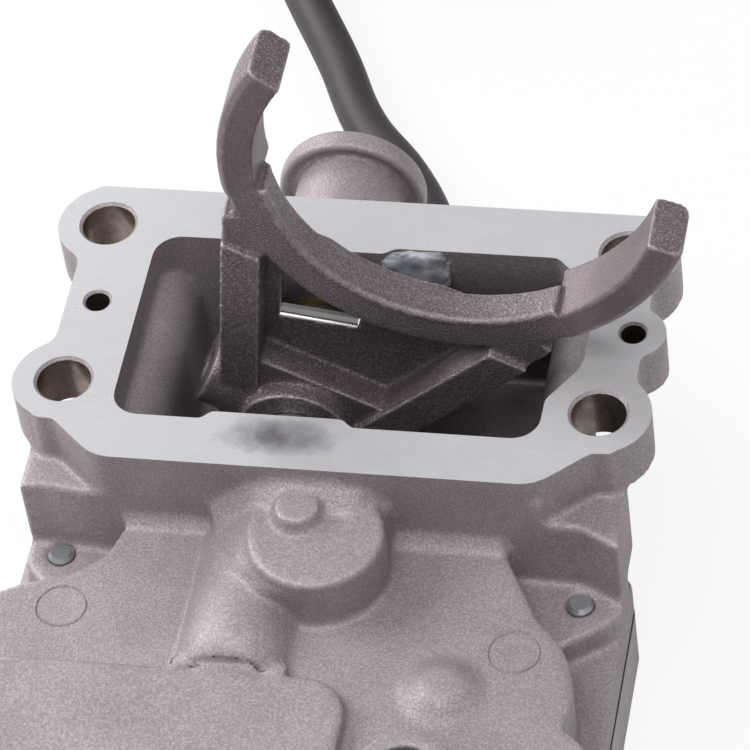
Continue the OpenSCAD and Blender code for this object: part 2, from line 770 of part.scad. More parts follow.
module motor_end_plate() {
    color("dimgray") on_motor() difference() {
        union() {
            ring(can_r, 5, can_front, plate_t);
            ring(can_r - can_wall, 12, can_front - 4, 4 + e);
        }
        for (s = [-1, 1]) translate([s * 12, 0, can_front - 1]) cylinder(r = 1.6, h = plate_t + 2);
    }
}

module motor_bushes() {
    color("peru") on_motor() {
        ring(5, rotor_r + run_fit, can_back, 4);
        ring(5, rotor_r + run_fit, can_front + 1, 5);
    }
}

module motor_magnets() {
    color("darkslategray") on_motor() for (s = [0, 180])
            rotate(s) translate([0, 0, can_back + 10]) intersection() {
        ring(can_r - can_wall, can_r - can_wall - magnet_t, 0, core_l + 8);
        translate([3, -can_r, 0]) cube([can_r, 2 * can_r, core_l + 8]);
    }
}

module motor_screws() {
    color("lightgray") on_motor() for (s = [-1, 1]) translate([s * 12, 0, can_front + plate_t - 6]) {
        cylinder(r = 1.6, h = 6);
        translate([0, 0, 6]) cylinder(r = 2.6, h = 1.6);
    }
}

module rotor_shaft() {
    color("lightgray") on_motor() translate([0, 0, can_back - 1.5])
        cylinder(r = rotor_r, h = bush_end - can_back + 1);
}

module rotor_core() {
    color("gray") on_motor() translate([0, 0, can_back + 14]) linear_extrude(core_l) difference() {
        circle(can_r - can_wall - magnet_t - 0.6);
        circle(rotor_r);
        for (k = [0:6]) rotate(360 / 7 * k) translate([5.5, -1.6]) square([5.4, 3.2]);
        for (k = [0:6]) rotate(360 / 7 * k) translate([9, -0.6]) square([6, 1.2]);
    }
}

module rotor_winding() {
    color("sienna") on_motor() for (z0 = [can_back + 9.5, can_back + 14.1 + core_l])
        ring(10.5, 4.2, z0, 4.3);
}

module commutator() {
    color("orange") on_motor() difference() {
        ring(6, rotor_r, can_front - 12, 9);
        for (k = [0:6]) rotate(360 / 7 * k) translate([5.4, -0.2, can_front - 13]) cube([2, 0.4, 11]);
    }
}

module motor_brushes() {
    color("dimgray") on_motor() for (s = [0, 180]) rotate(s + 90)
        translate([6.3, -2, can_front - 10]) cube([5.5, 4, 5]);
}

module switch_board() {
    color("darkgreen") at_gear() translate([-30, -7, cover_floor]) cube([22, 14, board_t]);
}

module wiper_contacts() {
    color("gold") at_gear() for (y = [-4, 0, 4]) translate([-26.5, y - 0.8, cover_floor + board_t])
        cube([4, 1.6, gear_z - cover_floor - board_t - gap]);
}

module lead_grommet() {
    color("black") translate([grommet_x, 26, grommet_z]) rotate([-90, 0, 0]) {
        ring(grommet_r, lead_r, 0, grommet_y - 26);
        ring(grommet_r + 0.7, lead_r, grommet_y - 26, 8);
    }
}

module lead() {
    color("black") swept(lead_path, lead_r, 12, [0, 0, 1]);
}

module lead_coil() {
    color("black") translate(coil_at) rotate_extrude() translate([coil_r - lead_r, 0]) {
        translate([lead_r, 0]) circle(lead_r, $fn = 24);
        square([lead_d, lead_d]);
        translate([lead_r, lead_d]) circle(lead_r, $fn = 24);
    }
}

module lead_tail() {
    color("black") swept(tail_path, lead_r, 12, [0, 0, 1]);
}

module connector_shell() {
    color("dimgray") translate(plug_at) difference() {
        translate([1, -11, -5]) cube([30, 22, 17]);
        translate([14, -9, -3]) cube([18, 18, 13]);
        rotate([0, 90, 0]) cylinder(r = lead_r, h = 8);
        terminal_row();
    }
}

// The plug's two rows of blades
module terminal_row() {
    for (y = [-6, 0, 6], z = [0, 7]) translate([10, y - 1, z - 0.4]) cube([14, 2, 0.8]);
}

module connector_seal() {
    color("orangered") translate(plug_at) difference() {
        translate([14, -9, -3]) cube([2, 18, 13]);
        terminal_row();
    }
}

module connector_terminals() {
    color("gold") translate(plug_at) terminal_row();
}

main_housing();
bottom_cover();
cover_gasket();
cover_screws();
breather_cap();
front_bush();
rear_bush();
shaft_seal();
fork_shaft();
shift_fork();
fork_pin();
rack_slider();
wait_spring();
spring_washers();
shaft_snap_rings();
gear_axle();
rack_pinion();
drive_gear();
contact_disc();
wheel_axle();
worm_wheel();
wheel_pinion();
worm();
worm_end_bush();
motor_can();
motor_end_plate();
motor_bushes();
motor_magnets();
motor_screws();
rotor_shaft();
rotor_core();
rotor_winding();
commutator();
motor_brushes();
switch_board();
wiper_contacts();
lead_grommet();
lead();
lead_coil();
lead_tail();
connector_shell();
connector_seal();
connector_terminals();
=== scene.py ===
"""Looks of a front axle shift actuator: die-cast housing, forged shift fork and sheathed lead.

Lengths in the dataclasses are in millimetres unless a name says otherwise, and become metres
through MM when a mesh is made.
"""
import json
import logging
import math
from collections.abc import Callable, Iterable, Sequence
from dataclasses import dataclass, field
from enum import Enum

import bmesh
import bpy
from bmesh.types import BMEdge, BMesh, BMVert
from bpy.types import Material, Mesh, Node, NodeSocket, NodeTree, Object
from mathutils import Matrix, Vector, noise


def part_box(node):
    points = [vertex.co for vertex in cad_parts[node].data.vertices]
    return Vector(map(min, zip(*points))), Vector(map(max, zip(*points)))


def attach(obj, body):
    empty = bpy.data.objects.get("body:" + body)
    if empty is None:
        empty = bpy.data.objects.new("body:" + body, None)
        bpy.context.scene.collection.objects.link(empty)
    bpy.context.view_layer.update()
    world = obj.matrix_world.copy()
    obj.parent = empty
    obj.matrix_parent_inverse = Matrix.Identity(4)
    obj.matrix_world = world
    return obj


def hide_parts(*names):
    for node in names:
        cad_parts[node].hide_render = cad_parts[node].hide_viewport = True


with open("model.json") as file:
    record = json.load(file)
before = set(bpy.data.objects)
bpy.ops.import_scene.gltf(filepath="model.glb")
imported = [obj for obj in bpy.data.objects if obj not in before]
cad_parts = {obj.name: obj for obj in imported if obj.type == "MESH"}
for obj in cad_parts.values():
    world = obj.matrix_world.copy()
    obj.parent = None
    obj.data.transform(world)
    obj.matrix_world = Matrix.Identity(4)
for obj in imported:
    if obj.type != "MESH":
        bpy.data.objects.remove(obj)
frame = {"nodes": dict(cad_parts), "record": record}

Pair = tuple[float, float]
Triple = tuple[float, float, float]

LOG = logging.getLogger("shift_actuator")
MM = 0.001
NODES: dict[str, Object] = frame["nodes"]


class Body(Enum):
    """The bodies that pieces ride on."""

    HOUSING = "housing"
    FORK = "fork_assembly"


# Shader building blocks

# Low and high marks of the masks that the finishes take from noise

BLOTCHES = (0.32, 0.68)
DARK_GRAINS = (0.38, 0.52)
LIGHT_GRAINS = (0.5, 0.66)
CLOUDS = (0.35, 0.7)
LINES = (0.4, 0.7)
STREAKS = (0.35, 0.65)
MOST = (0.3, 0.7)

# How much of each effect is mixed in

FINE_SHARE = 0.7
PIT_SHARE = 0.5
BLOTCH_SHARE = 0.45
LIGHT_SHARE = 0.8
HOLLOW_SHARE = 0.5
CLOUD_SHARE = 0.55
LINE_SHARE = 0.25
DUST_SHARE = 0.5

# Where pointiness becomes an edge, brightened as wear and painted highlight, or a hollow, darkened
# as painted shade, and what breaks it up

EDGE_MARK = 0.515
HOLLOW_MARK = 0.49
BREAK_UP_SCALE = 420.0
BREAK_UP_REACH = 0.06
EDGE_AND_HOLLOW_WIDTH = 14.0

# How far roughness swings about its mean

GRAIN_GLOSS = 0.07
EDGE_GLOSS = 0.12
CLOUD_GLOSS = (-0.06, 0.08)
DUST_GLOSS = (-0.05, 0.08)


@dataclass
class Graph:
    """Short words for laying out one node tree.

    Attributes:
        tree: the node tree of a material, of a group or of the world.
    """

    tree: NodeTree

    def join(self, source: NodeSocket, target: NodeSocket) -> None:
        """Links an output to an input."""
        self.tree.links.new(source, target)

    def feed(self, target: NodeSocket, value: object) -> None:
        """Gives an input a plain value, or the output that feeds it."""
        if isinstance(value, NodeSocket):
            self.join(value, target)
        else:
            target.default_value = value

    def node(self, kind: str, inputs: dict[str | int, object] | None = None,
             **settings: object) -> Node:
        """Adds a node.

        Args:
            kind: the node's Blender type.
            inputs: for each input, a value or the output socket that feeds it.
            settings: the node's own properties.

        Returns:
            The new node.
        """
        made = self.tree.nodes.new(kind)
        for name, value in settings.items():
            setattr(made, name, value)
        for name, value in (inputs or {}).items():
            self.feed(made.inputs[name], value)
        return made

    def place(self) -> NodeSocket:
        """Adds a Texture Coordinate node and returns its Object coordinates."""
        return self.node("ShaderNodeTexCoord").outputs["Object"]

    def axes(self, place: NodeSocket) -> bpy.types.bpy_prop_collection:
        """Splits a point and returns its outputs X, Y and Z."""
        return self.node("ShaderNodeSeparateXYZ", {0: place}).outputs

    def maths(self, operation: str, a: object, b: object,
              clamp: bool = False) -> NodeSocket:
        """Adds a Math node and returns its output."""
        return self.node("ShaderNodeMath", {0: a, 1: b}, operation=operation,
                         use_clamp=clamp).outputs[0]

    def times(self, a: object, b: object, clamp: bool = False) -> NodeSocket:
        """Multiplies two values and returns the output."""
        return self.maths("MULTIPLY", a, b, clamp)

    def span(self, value: object, low: float, high: float, to_low: float = 0.0,
             to_high: float = 1.0) -> NodeSocket:
        """Maps a value from one range to another, clamped, and returns the output."""
        return self.node("ShaderNodeMapRange", {
            "Value": value, "From Min": low, "From Max": high,
            "To Min": to_low, "To Max": to_high}).outputs["Result"]

    def noise(self, place: object, scale: object, detail: float = 3.0,
              rough: float = 0.5) -> NodeSocket:
        """Adds a noise texture whose scale is in spots per metre, and returns its factor."""
        return self.node("ShaderNodeTexNoise", {"Vector": place, "Scale": scale, "Detail": detail,
                                                "Roughness": rough}).outputs["Fac"]

    def mix(self, factor: object, a: object, b: object) -> NodeSocket:
        """Mixes two colours and returns the output."""
        return self.node("ShaderNodeMix", {0: factor, 6: a, 7: b}, data_type="RGBA").outputs[2]


def colour(red: float, green: float, blue: float) -> tuple[float, float, float, float]:
    """Turns a colour as seen on screen, 0 to 255 a channel, into linear light."""
    def linear(channel: float) -> float:
        """One channel in linear light."""
        share = channel / 255
        return share / 12.92 if share <= 0.04045 else ((share + 0.055) / 1.055) ** 2.4
    return linear(red), linear(green), linear(blue), 1.0


def make_group(name: str, inputs: dict[str, float], outputs: Iterable[str],
               fill: Callable[[Graph, Node, Node], None]) -> NodeTree:
    """Builds a shader node group that takes in and puts out plain values.

    Args:
        name: the group's name.
        inputs: each input's default by its name.
        outputs: the outputs' names.
        fill: lays out the nodes between the group's input and output nodes.

    Returns:
        The group's tree.
    """
    tree = bpy.data.node_groups.new(name, "ShaderNodeTree")
    sockets = [(label, "INPUT") for label in inputs] + [(label, "OUTPUT") for label in outputs]
    for label, way in sockets:
        made = tree.interface.new_socket(label, in_out=way, socket_type="NodeSocketFloat")
        if way == "INPUT":
            made.default_value = inputs[label]
    graph = Graph(tree)
    fill(graph, graph.node("NodeGroupInput"), graph.node("NodeGroupOutput"))
    return tree


def fill_grain(graph: Graph, source: Node, sink: Node) -> None:
    """Fine blasted or cast grain: a height for bump and a slow blotch for colour."""
    place, scale = graph.place(), source.outputs["Scale"]
    fine = graph.noise(place, scale, detail=4.0, rough=0.62)
    pits = graph.node("ShaderNodeTexVoronoi", {"Vector": place, "Scale": scale},
                      feature="SMOOTH_F1").outputs["Distance"]
    blotch = graph.noise(place, source.outputs["Blotch Scale"], detail=5.0, rough=0.6)
    height = graph.maths("ADD", graph.times(fine, FINE_SHARE), graph.times(pits, PIT_SHARE))
    graph.join(height, sink.inputs["Height"])
    graph.join(fine, sink.inputs["Speckle"])
    graph.join(graph.span(blotch, *BLOTCHES), sink.inputs["Blotch"])


def fill_wear_and_painted_light(graph: Graph, source: Node, sink: Node) -> None:
    """Masks of the proud edges, broken up by noise, for wear and painted highlight, and of the
    hollows, for painted shade.
    """
    point = graph.node("ShaderNodeNewGeometry").outputs["Pointiness"]
    break_up = graph.noise(graph.place(), BREAK_UP_SCALE, detail=4.0, rough=0.6)
    uneven = graph.times(graph.maths("SUBTRACT", break_up, 0.5), BREAK_UP_REACH)
    raised = graph.maths("ADD", point, uneven)
    width = source.outputs["Width"]
    # Edge mask: wear and painted highlight. Hollow mask: painted shade where creases lie in
    # shadow.
    for name, high, low in (("Edge", raised, EDGE_MARK), ("Hollow", HOLLOW_MARK, point)):
        mask = graph.times(graph.maths("SUBTRACT", high, low), width, clamp=True)
        graph.join(mask, sink.inputs[name])


@dataclass(frozen=True)
class Effects:
    """The node groups that several finishes share."""

    grain: NodeTree
    wear: NodeTree

    @classmethod
    def build(cls) -> "Effects":
        """Makes both groups once."""
        return cls(make_group("casting_grain", {"Scale": 1200.0, "Blotch Scale": 60.0},
                              ("Height", "Speckle", "Blotch"), fill_grain),
                   make_group("edge_wear", {"Width": 12.0}, ("Edge", "Hollow"), fill_wear_and_painted_light))


EFFECTS = Effects.build()


def place_group(graph: Graph, tree: NodeTree,
                values: dict[str, float]) -> bpy.types.bpy_prop_collection:
    """Places a shared node group in a material with its own values.

    Args:
        graph: the material's graph.
        tree: the group.
        values: the group's inputs by name.

    Returns:
        The group's outputs by name.
    """
    return graph.node("ShaderNodeGroup", values, node_tree=tree).outputs


def new_material(name: str) -> tuple[Material, Graph, Node]:
    """Starts a material and returns it with its graph and its surface shader."""
    made = bpy.data.materials.new(name)
    made.use_nodes = True
    return made, Graph(made.node_tree), made.node_tree.nodes["Principled BSDF"]


def surface(graph: Graph, shader: Node, body: NodeSocket, gloss: object, height: NodeSocket,
            strength: float, relief_mm: float) -> None:
    """Feeds a shader what changes over its surface.

    Args:
        graph: the material's graph.
        shader: its surface shader.
        body: the colour.
        gloss: the roughness, an output or a plain number.
        height: the relief, from 0 to 1.
        strength: how much of the relief's slope is seen.
        relief_mm: the relief's height.
    """
    graph.join(body, shader.inputs["Base Color"])
    graph.feed(shader.inputs["Roughness"], gloss)
    made = graph.node("ShaderNodeBump", {"Height": height, "Strength": strength,
                                         "Distance": relief_mm * MM})
    graph.join(made.outputs["Normal"], shader.inputs["Normal"])


@dataclass(frozen=True)
class Finish:
    """What every finish has; each kind paints its own nodes.

    Attributes:
        name: the material's name.
        base: its main colour, 0 to 255 a channel.
    """

    name: str
    base: Triple

    def material(self) -> Material:
        """Builds the material."""
        made, graph, shader = new_material(self.name)
        self.paint(graph, shader)
        return made

    def paint(self, graph: Graph, shader: Node) -> None:
        """Lays out the finish's nodes."""
        raise NotImplementedError


@dataclass(frozen=True)
class GrainFinish(Finish):
    """A blasted or cast metal surface, or any other surface with fine grain.

    Attributes:
        deep: the colour of its darker blotches and grains, and of the painted shade in its
            hollows.
        bright: the colour of its lighter grains and of its edges, which are brightened partly as
            wear and partly as painted highlight.
        metallic: how metallic it is.
        roughness: its mean roughness.
        grain_mm: the size of the grain.
        relief_mm: the height of the grain.
        blotch_mm: the size of the slow blotches.
        speckle: how far single grains differ in colour.
        wear: how strongly edges brighten, partly as wear and partly as painted highlight.
    """

    deep: Triple
    bright: Triple
    metallic: float = 0.6
    roughness: float = 0.5
    grain_mm: float = 0.6
    relief_mm: float = 0.05
    blotch_mm: float = 18.0
    speckle: float = 0.3
    wear: float = 0.6

    def paint(self, graph: Graph, shader: Node) -> None:
        """Lays out the finish's nodes."""
        grain = place_group(graph, EFFECTS.grain, {"Scale": 1 / (self.grain_mm * MM),
                                                   "Blotch Scale": 1 / (self.blotch_mm * MM)})
        wear = place_group(graph, EFFECTS.wear, {"Width": EDGE_AND_HOLLOW_WIDTH})
        base, deep, bright = (colour(*tone) for tone in (self.base, self.deep, self.bright))
        speckle, edge = grain["Speckle"], wear["Edge"]
        body = graph.mix(graph.times(grain["Blotch"], BLOTCH_SHARE), base, deep)
        body = graph.mix(graph.span(speckle, *DARK_GRAINS, self.speckle, 0.0), body, deep)
        light = graph.span(speckle, *LIGHT_GRAINS, 0.0, self.speckle * LIGHT_SHARE)
        # Painted shade: a finish with a shaded room darkens its colour with depth here.
        body = self.oiled(graph, graph.mix(light, body, bright))
        # Painted shade: the hollows are darkened towards the deep colour.
        body = graph.mix(graph.times(wear["Hollow"], HOLLOW_SHARE), body, deep)
        # Edges brightened, partly as wear and partly as painted highlight.
        body = graph.mix(graph.times(edge, self.wear), body, bright)
        gloss = graph.span(speckle, *MOST, self.roughness + GRAIN_GLOSS,
                           self.roughness - GRAIN_GLOSS)
        gloss = graph.maths("SUBTRACT", gloss, graph.times(edge, EDGE_GLOSS))
        shader.inputs["Metallic"].default_value = self.metallic
        surface(graph, shader, body, gloss, grain["Height"], 1.0, self.relief_mm)

    def oiled(self, graph: Graph, body: NodeSocket) -> NodeSocket:
        """Leaves the colour as it is; a finish with a shaded room paints shade into it."""
        return body


@dataclass(frozen=True)
class CastingFinish(GrainFinish):
    """Blasted casting whose open cavity is darkened by painted shade towards its bottom.

    Attributes:
        painted_shade_tone: the colour of the painted shade at the cavity's bottom.
        room_low: the lowest X and Y of the shaded room.
        room_high: its highest X and Y.
        clean: how deep below the flange the painted shade starts.
        full: how deep it is at its darkest.
        fades: over how many millimetres it fades at the room's low and high sides.
        patch_scale: how many slow patches it has to the metre.
        patch_least: how much of the shade is left in the lighter patches.
    """

    painted_shade_tone: Triple = (50, 42, 44)
    room_low: Pair = (-30.0, -33.0)
    room_high: Pair = (50.0, 24.0)
    clean: float = 3.0
    full: float = 16.0
    fades: Pair = (4.0, 1.0)
    patch_scale: float = 70.0
    patch_least: float = 0.75

    def oiled(self, graph: Graph, body: NodeSocket) -> NodeSocket:
        """Mixes in painted shade inside the room, more with depth and in slow patches."""
        place = graph.place()
        parts = graph.axes(place)
        mask = graph.span(parts["Z"], -self.full * MM, -self.clean * MM, 1.0, 0.0)
        near, far = self.fades
        for axis, low, high in zip("XY", self.room_low, self.room_high):
            mask = graph.times(mask, graph.span(parts[axis], low * MM, (low + near) * MM))
            mask = graph.times(mask, graph.span(parts[axis], (high - far) * MM, high * MM,
                                                1.0, 0.0))
        patches = graph.noise(place, self.patch_scale, detail=4.0, rough=0.6)
        mask = graph.times(mask, graph.span(patches, *MOST, self.patch_least, 1.0))
        # Painted shade: the cavity darkens towards its bottom, as if in shadow.
        return graph.mix(mask, body, colour(*self.painted_shade_tone))


@dataclass(frozen=True)
class MachinedFinish(Finish):
    """A milled, turned or ground metal surface.

    Attributes:
        shade: the colour of its cloudy patches.
        roughness: its mean roughness.
        cloud_mm: the size of the patches.
        line_mm: the spacing of the cutter's fine lines.
        stretch: how much the lines are squeezed along X, Y and Z.
        metallic: how metallic it is.
    """

    shade: Triple
    roughness: float = 0.3
    cloud_mm: float = 14.0
    line_mm: float = 0.4
    stretch: Triple = (0.04, 1.0, 1.0)
    metallic: float = 0.9

    def paint(self, graph: Graph, shader: Node) -> None:
        """Lays out the finish's nodes."""
        place, base, shade = graph.place(), colour(*self.base), colour(*self.shade)
        drawn = graph.node("ShaderNodeMapping", {"Vector": place, "Scale": self.stretch})
        lines = graph.noise(drawn.outputs["Vector"], 1 / (self.line_mm * MM), rough=0.7)
        cloud = graph.noise(place, 1 / (self.cloud_mm * MM), detail=6.0, rough=0.65)
        body = graph.mix(graph.times(graph.span(cloud, *CLOUDS), CLOUD_SHARE), base, shade)
        body = graph.mix(graph.span(lines, *LINES, 0.0, LINE_SHARE), body, shade)
        gloss = graph.span(cloud, *MOST, *(self.roughness + swing for swing in CLOUD_GLOSS))
        shader.inputs["Metallic"].default_value = self.metallic
        # The milled face mixes a painted reflection into its colour here.
        surface(graph, shader, self.add_painted_reflection(graph, body), gloss, lines, 0.5, 0.01)

    def add_painted_reflection(self, graph: Graph, body: NodeSocket) -> NodeSocket:
        """Leaves the colour as it is; a finish with a painted reflection changes it."""
        return body


@dataclass(frozen=True)
class MilledFinish(MachinedFinish):
    """The milled flange face, with a painted reflection of the dark fork: a ragged dark smear near
    its front.

    Attributes:
        smear: the painted reflection's middle along X and Y.
        reach: its half lengths along X and Y.
        oil: the painted reflection's colour.
        ragged_scale: how many bays its edge has to the metre.
        ragged_reach: how deep they are, in its half lengths.
        fade: where its edge fades, in its half lengths squared.
        strength: how much of the painted reflection's colour shows.
    """

    smear: Pair = (-8.0, -33.0)
    reach: Pair = (13.0, 5.0)
    oil: Triple = (92, 89, 97)
    ragged_scale: float = 130.0
    ragged_reach: float = 2.4
    fade: Pair = (1.0, 2.3)
    strength: float = 0.8

    def add_painted_reflection(self, graph: Graph, body: NodeSocket) -> NodeSocket:
        """Mixes in the painted reflection, with edges broken up by noise."""
        place = graph.place()
        parts = graph.axes(place)
        bays = graph.noise(place, self.ragged_scale, detail=5.0, rough=0.65)
        ragged = graph.times(bays, self.ragged_reach)
        for axis, middle, half in zip("XY", self.smear, self.reach):
            step = graph.maths("DIVIDE", graph.maths("SUBTRACT", parts[axis], middle * MM),
                               half * MM)
            ragged = graph.maths("ADD", ragged, graph.times(step, step))
        # Painted reflection: a dark ragged patch where the fork is mirrored in the face.
        return graph.mix(graph.span(ragged, *self.fade, self.strength, 0.0), body,
                         colour(*self.oil))


@dataclass(frozen=True)
class MouldedFinish(Finish):
    """Rubber, plastic, enamel or other unpolished non-metal.

    Attributes:
        dust: the colour of its worn or dusty patches.
        roughness: its mean roughness.
        grain_mm: the size of its surface grain.
        relief_mm: the height of the grain.
        blotch_scale: how many slow patches it has to the metre.
    """

    dust: Triple
    roughness: float = 0.55
    grain_mm: float = 0.5
    relief_mm: float = 0.02
    blotch_scale: float = 90.0

    def paint(self, graph: Graph, shader: Node) -> None:
        """Lays out the finish's nodes."""
        grain = place_group(graph, EFFECTS.grain, {"Scale": 1 / (self.grain_mm * MM),
                                                   "Blotch Scale": self.blotch_scale})
        body = graph.mix(graph.times(grain["Blotch"], DUST_SHARE), colour(*self.base),
                         colour(*self.dust))
        gloss = graph.span(grain["Blotch"], 0.0, 1.0,
                           *(self.roughness + swing for swing in DUST_GLOSS))
        surface(graph, shader, body, gloss, grain["Height"], 0.6, self.relief_mm)


@dataclass(frozen=True)
class GreaseFinish(Finish):
    """Pale translucent grease smeared over metal.

    Attributes:
        thin: its colour where it is thin.
        roughness: its roughness.
        streak_scale: how many streaks it has to the metre.
        depth_mm: how far light goes into it.
        scatter: how much of the light does.
        clear: its alpha where it is thin.
        relief_mm: the height of its streaks.
    """

    name: str = "pale_grease"
    base: Triple = (196, 199, 208)
    thin: Triple = (142, 147, 160)
    roughness: float = 0.3
    streak_scale: float = 220.0
    depth_mm: float = 1.5
    scatter: float = 0.4
    clear: float = 0.78
    relief_mm: float = 0.15

    def paint(self, graph: Graph, shader: Node) -> None:
        """Lays out the finish's nodes."""
        streak = graph.noise(graph.place(), self.streak_scale, detail=4.0, rough=0.55)
        body = graph.mix(graph.span(streak, *STREAKS), colour(*self.base), colour(*self.thin))
        shader.inputs["Subsurface Weight"].default_value = self.scatter
        shader.inputs["Subsurface Scale"].default_value = self.depth_mm * MM
        graph.join(graph.span(streak, *MOST, 1.0, self.clear), shader.inputs["Alpha"])
        surface(graph, shader, body, self.roughness, streak, 0.3, self.relief_mm)


@dataclass(frozen=True)
class Palette:
    """Every finish of the actuator, as built materials by name."""

    made: dict[str, Material]

    @classmethod
    def build(cls) -> "Palette":
        """Makes all the finishes once.

        Returns:
            The palette.
        """
        finishes = [
            CastingFinish("cast_aluminium", (168, 158, 160), (128, 118, 120), (206, 198, 200),
                          metallic=0.25, grain_mm=0.45, relief_mm=0.12, blotch_mm=16,
                          speckle=0.5, wear=0.35),
            MilledFinish("milled_face", (220, 218, 221), (190, 190, 197), metallic=0.45),
            MachinedFinish("bored_hole", (150, 138, 128), (84, 74, 68), cloud_mm=3.0,
                           line_mm=0.3, stretch=(1.0, 1.0, 0.05)),
            GrainFinish("forged_steel", (126, 114, 117), (86, 75, 78), (196, 185, 188),
                        metallic=0.45, roughness=0.4, grain_mm=0.42, relief_mm=0.24,
                        blotch_mm=12, speckle=0.6, wear=0.95),
            GrainFinish("milled_steel", (116, 104, 107), (92, 81, 84), (176, 166, 169),
                        metallic=0.5, roughness=0.4, grain_mm=0.3, relief_mm=0.04,
                        blotch_mm=9, speckle=0.35, wear=0.8),
            MachinedFinish("ground_steel", (186, 184, 184), (140, 138, 138), roughness=0.2,
                           cloud_mm=9, line_mm=0.3, stretch=(1.0, 0.05, 1.0)),
            MachinedFinish("zinc_steel", (190, 194, 198), (150, 156, 162), cloud_mm=4),
            MachinedFinish("spring_steel", (110, 108, 110), (66, 64, 66), cloud_mm=4),
            MachinedFinish("bronze", (168, 142, 100), (120, 96, 62), roughness=0.4, cloud_mm=3),
            MachinedFinish("brass_tracks", (206, 176, 110), (160, 128, 70), cloud_mm=3),
            MachinedFinish("lamination", (138, 138, 140), (96, 96, 98), roughness=0.45,
                           line_mm=0.5, stretch=(1.0, 0.05, 0.05)),
            MachinedFinish("copper", (186, 116, 76), (140, 78, 44), roughness=0.35, cloud_mm=3),
            MouldedFinish("black_rubber", (40, 38, 39), (62, 59, 60), roughness=0.6),
            MouldedFinish("lead_sheath", (50, 43, 48), (66, 59, 64), roughness=0.5,
                          grain_mm=0.9, relief_mm=0.03),
            MouldedFinish("black_plastic", (46, 45, 46), (66, 64, 64), roughness=0.45),
            MouldedFinish("white_plastic", (232, 229, 219), (214, 208, 194), roughness=0.4),
            MouldedFinish("ferrite", (70, 70, 73), (52, 52, 55), roughness=0.6),
            MouldedFinish("carbon", (44, 44, 45), (62, 62, 64), roughness=0.7),
            MouldedFinish("board_green", (34, 84, 54), (22, 60, 40), roughness=0.4),
            MouldedFinish("seal_silicone", (196, 84, 42), (170, 68, 34), roughness=0.5),
            GreaseFinish(),
        ]
        return cls({finish.name: finish.material() for finish in finishes})

    def __getitem__(self, name: str) -> Material:
        """The material of that name."""
        return self.made[name]

    def pick(self, *names: str) -> list[Material]:
        """The materials of those names, in that order."""
        return [self.made[name] for name in names]


# Mesh building blocks

WELD = 0.0005 * MM
SLIVER = 0.002 * MM
LEVEL = 0.001 * MM


def once(items: Iterable[object]) -> list[object]:
    """Each item once and in a steady order, so that every run makes the same mesh."""
    return list(dict.fromkeys(items))


def linked(name: str, data: bpy.types.ID) -> Object:
    """Makes an object of a mesh, curve, lamp or camera and links it to the scene."""
    made = bpy.data.objects.new(name, data)
    bpy.context.scene.collection.objects.link(made)
    return made


def put_in_scene(name: str, mesh: Mesh, body: Body, finishes: Iterable[Material]) -> Object:
    """Makes an object of a mesh, gives it its finishes and lets it ride on a body.

    Args:
        name: the piece's name.
        mesh: its mesh, already in place.
        body: the body it moves with.
        finishes: the material of each of its slots.

    Returns:
        The new object.
    """
    for finish in finishes:
        mesh.materials.append(finish)
    piece = linked(name, mesh)
    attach(piece, body.value)
    return piece


def mesh_of(name: str, build: BMesh) -> Mesh:
    """Writes a bmesh to a new mesh with smooth shading and frees it."""
    mesh = bpy.data.meshes.new(name)
    build.to_mesh(mesh)
    build.free()
    mesh.shade_smooth()
    return mesh


def baked(piece: Object) -> BMesh:
    """Applies a piece's modifiers and returns the result as a bmesh.

    Args:
        piece: the object whose modifiers are applied; it keeps none.

    Returns:
        The evaluated mesh.
    """
    bpy.context.view_layer.update()
    seen = piece.evaluated_get(bpy.context.evaluated_depsgraph_get())
    result = bmesh.new()
    result.from_mesh(seen.to_mesh())
    seen.to_mesh_clear()
    piece.modifiers.clear()
    return result


@dataclass(frozen=True)
class SoftSkin:
    """A cast or forged skin: a copy of a CAD solid whose edges are rounded as a mould leaves them.

    Attributes:
        node: the CAD node it copies.
        voxel_mm: the size of the grid that it is rebuilt on.
        passes: how many times its surface is smoothed.
        keep: the share of triangles that stays where the surface is flat.
    """

    node: str
    voxel_mm: float
    passes: int
    keep: float = 1.0

    def solid(self) -> BMesh:
        """The CAD solid, merged, as a bmesh."""
        build = bmesh.new()
        build.from_mesh(NODES[self.node].data)
        bmesh.ops.remove_doubles(build, verts=build.verts, dist=WELD)
        return build

    def round_over(self, build: BMesh) -> BMesh:
        """Rebuilds a closed mesh on a voxel grid and smooths it.

        Args:
            build: the sharp solid; it is freed.

        Returns:
            The rounded mesh.
        """
        piece = linked("rounding", mesh_of("rounding", build))
        grid = piece.modifiers.new("grid", "REMESH")
        grid.mode = "VOXEL"
        grid.voxel_size = self.voxel_mm * MM
        soften = piece.modifiers.new("soften", "SMOOTH")
        soften.factor = 0.5
        soften.iterations = self.passes
        if self.keep < 1.0:
            thin = piece.modifiers.new("thin", "DECIMATE")
            thin.ratio = self.keep
        result = baked(piece)
        bpy.data.objects.remove(piece)
        return result

    def cut(self, build: BMesh, tools: Sequence[Object]) -> BMesh:
        """Cuts tools away from a closed mesh.

        Args:
            build: the mesh; it is freed.
            tools: closed objects; they are removed.

        Returns:
            The cut mesh.
        """
        piece = linked("cutting", mesh_of("cutting", build))
        for tool in tools:
            cut = piece.modifiers.new(tool.name, "BOOLEAN")
            cut.operation = "DIFFERENCE"
            cut.solver = "MANIFOLD"
            cut.object = tool
        result = baked(piece)
        for spent in (piece, *tools):
            bpy.data.objects.remove(spent)
        return result


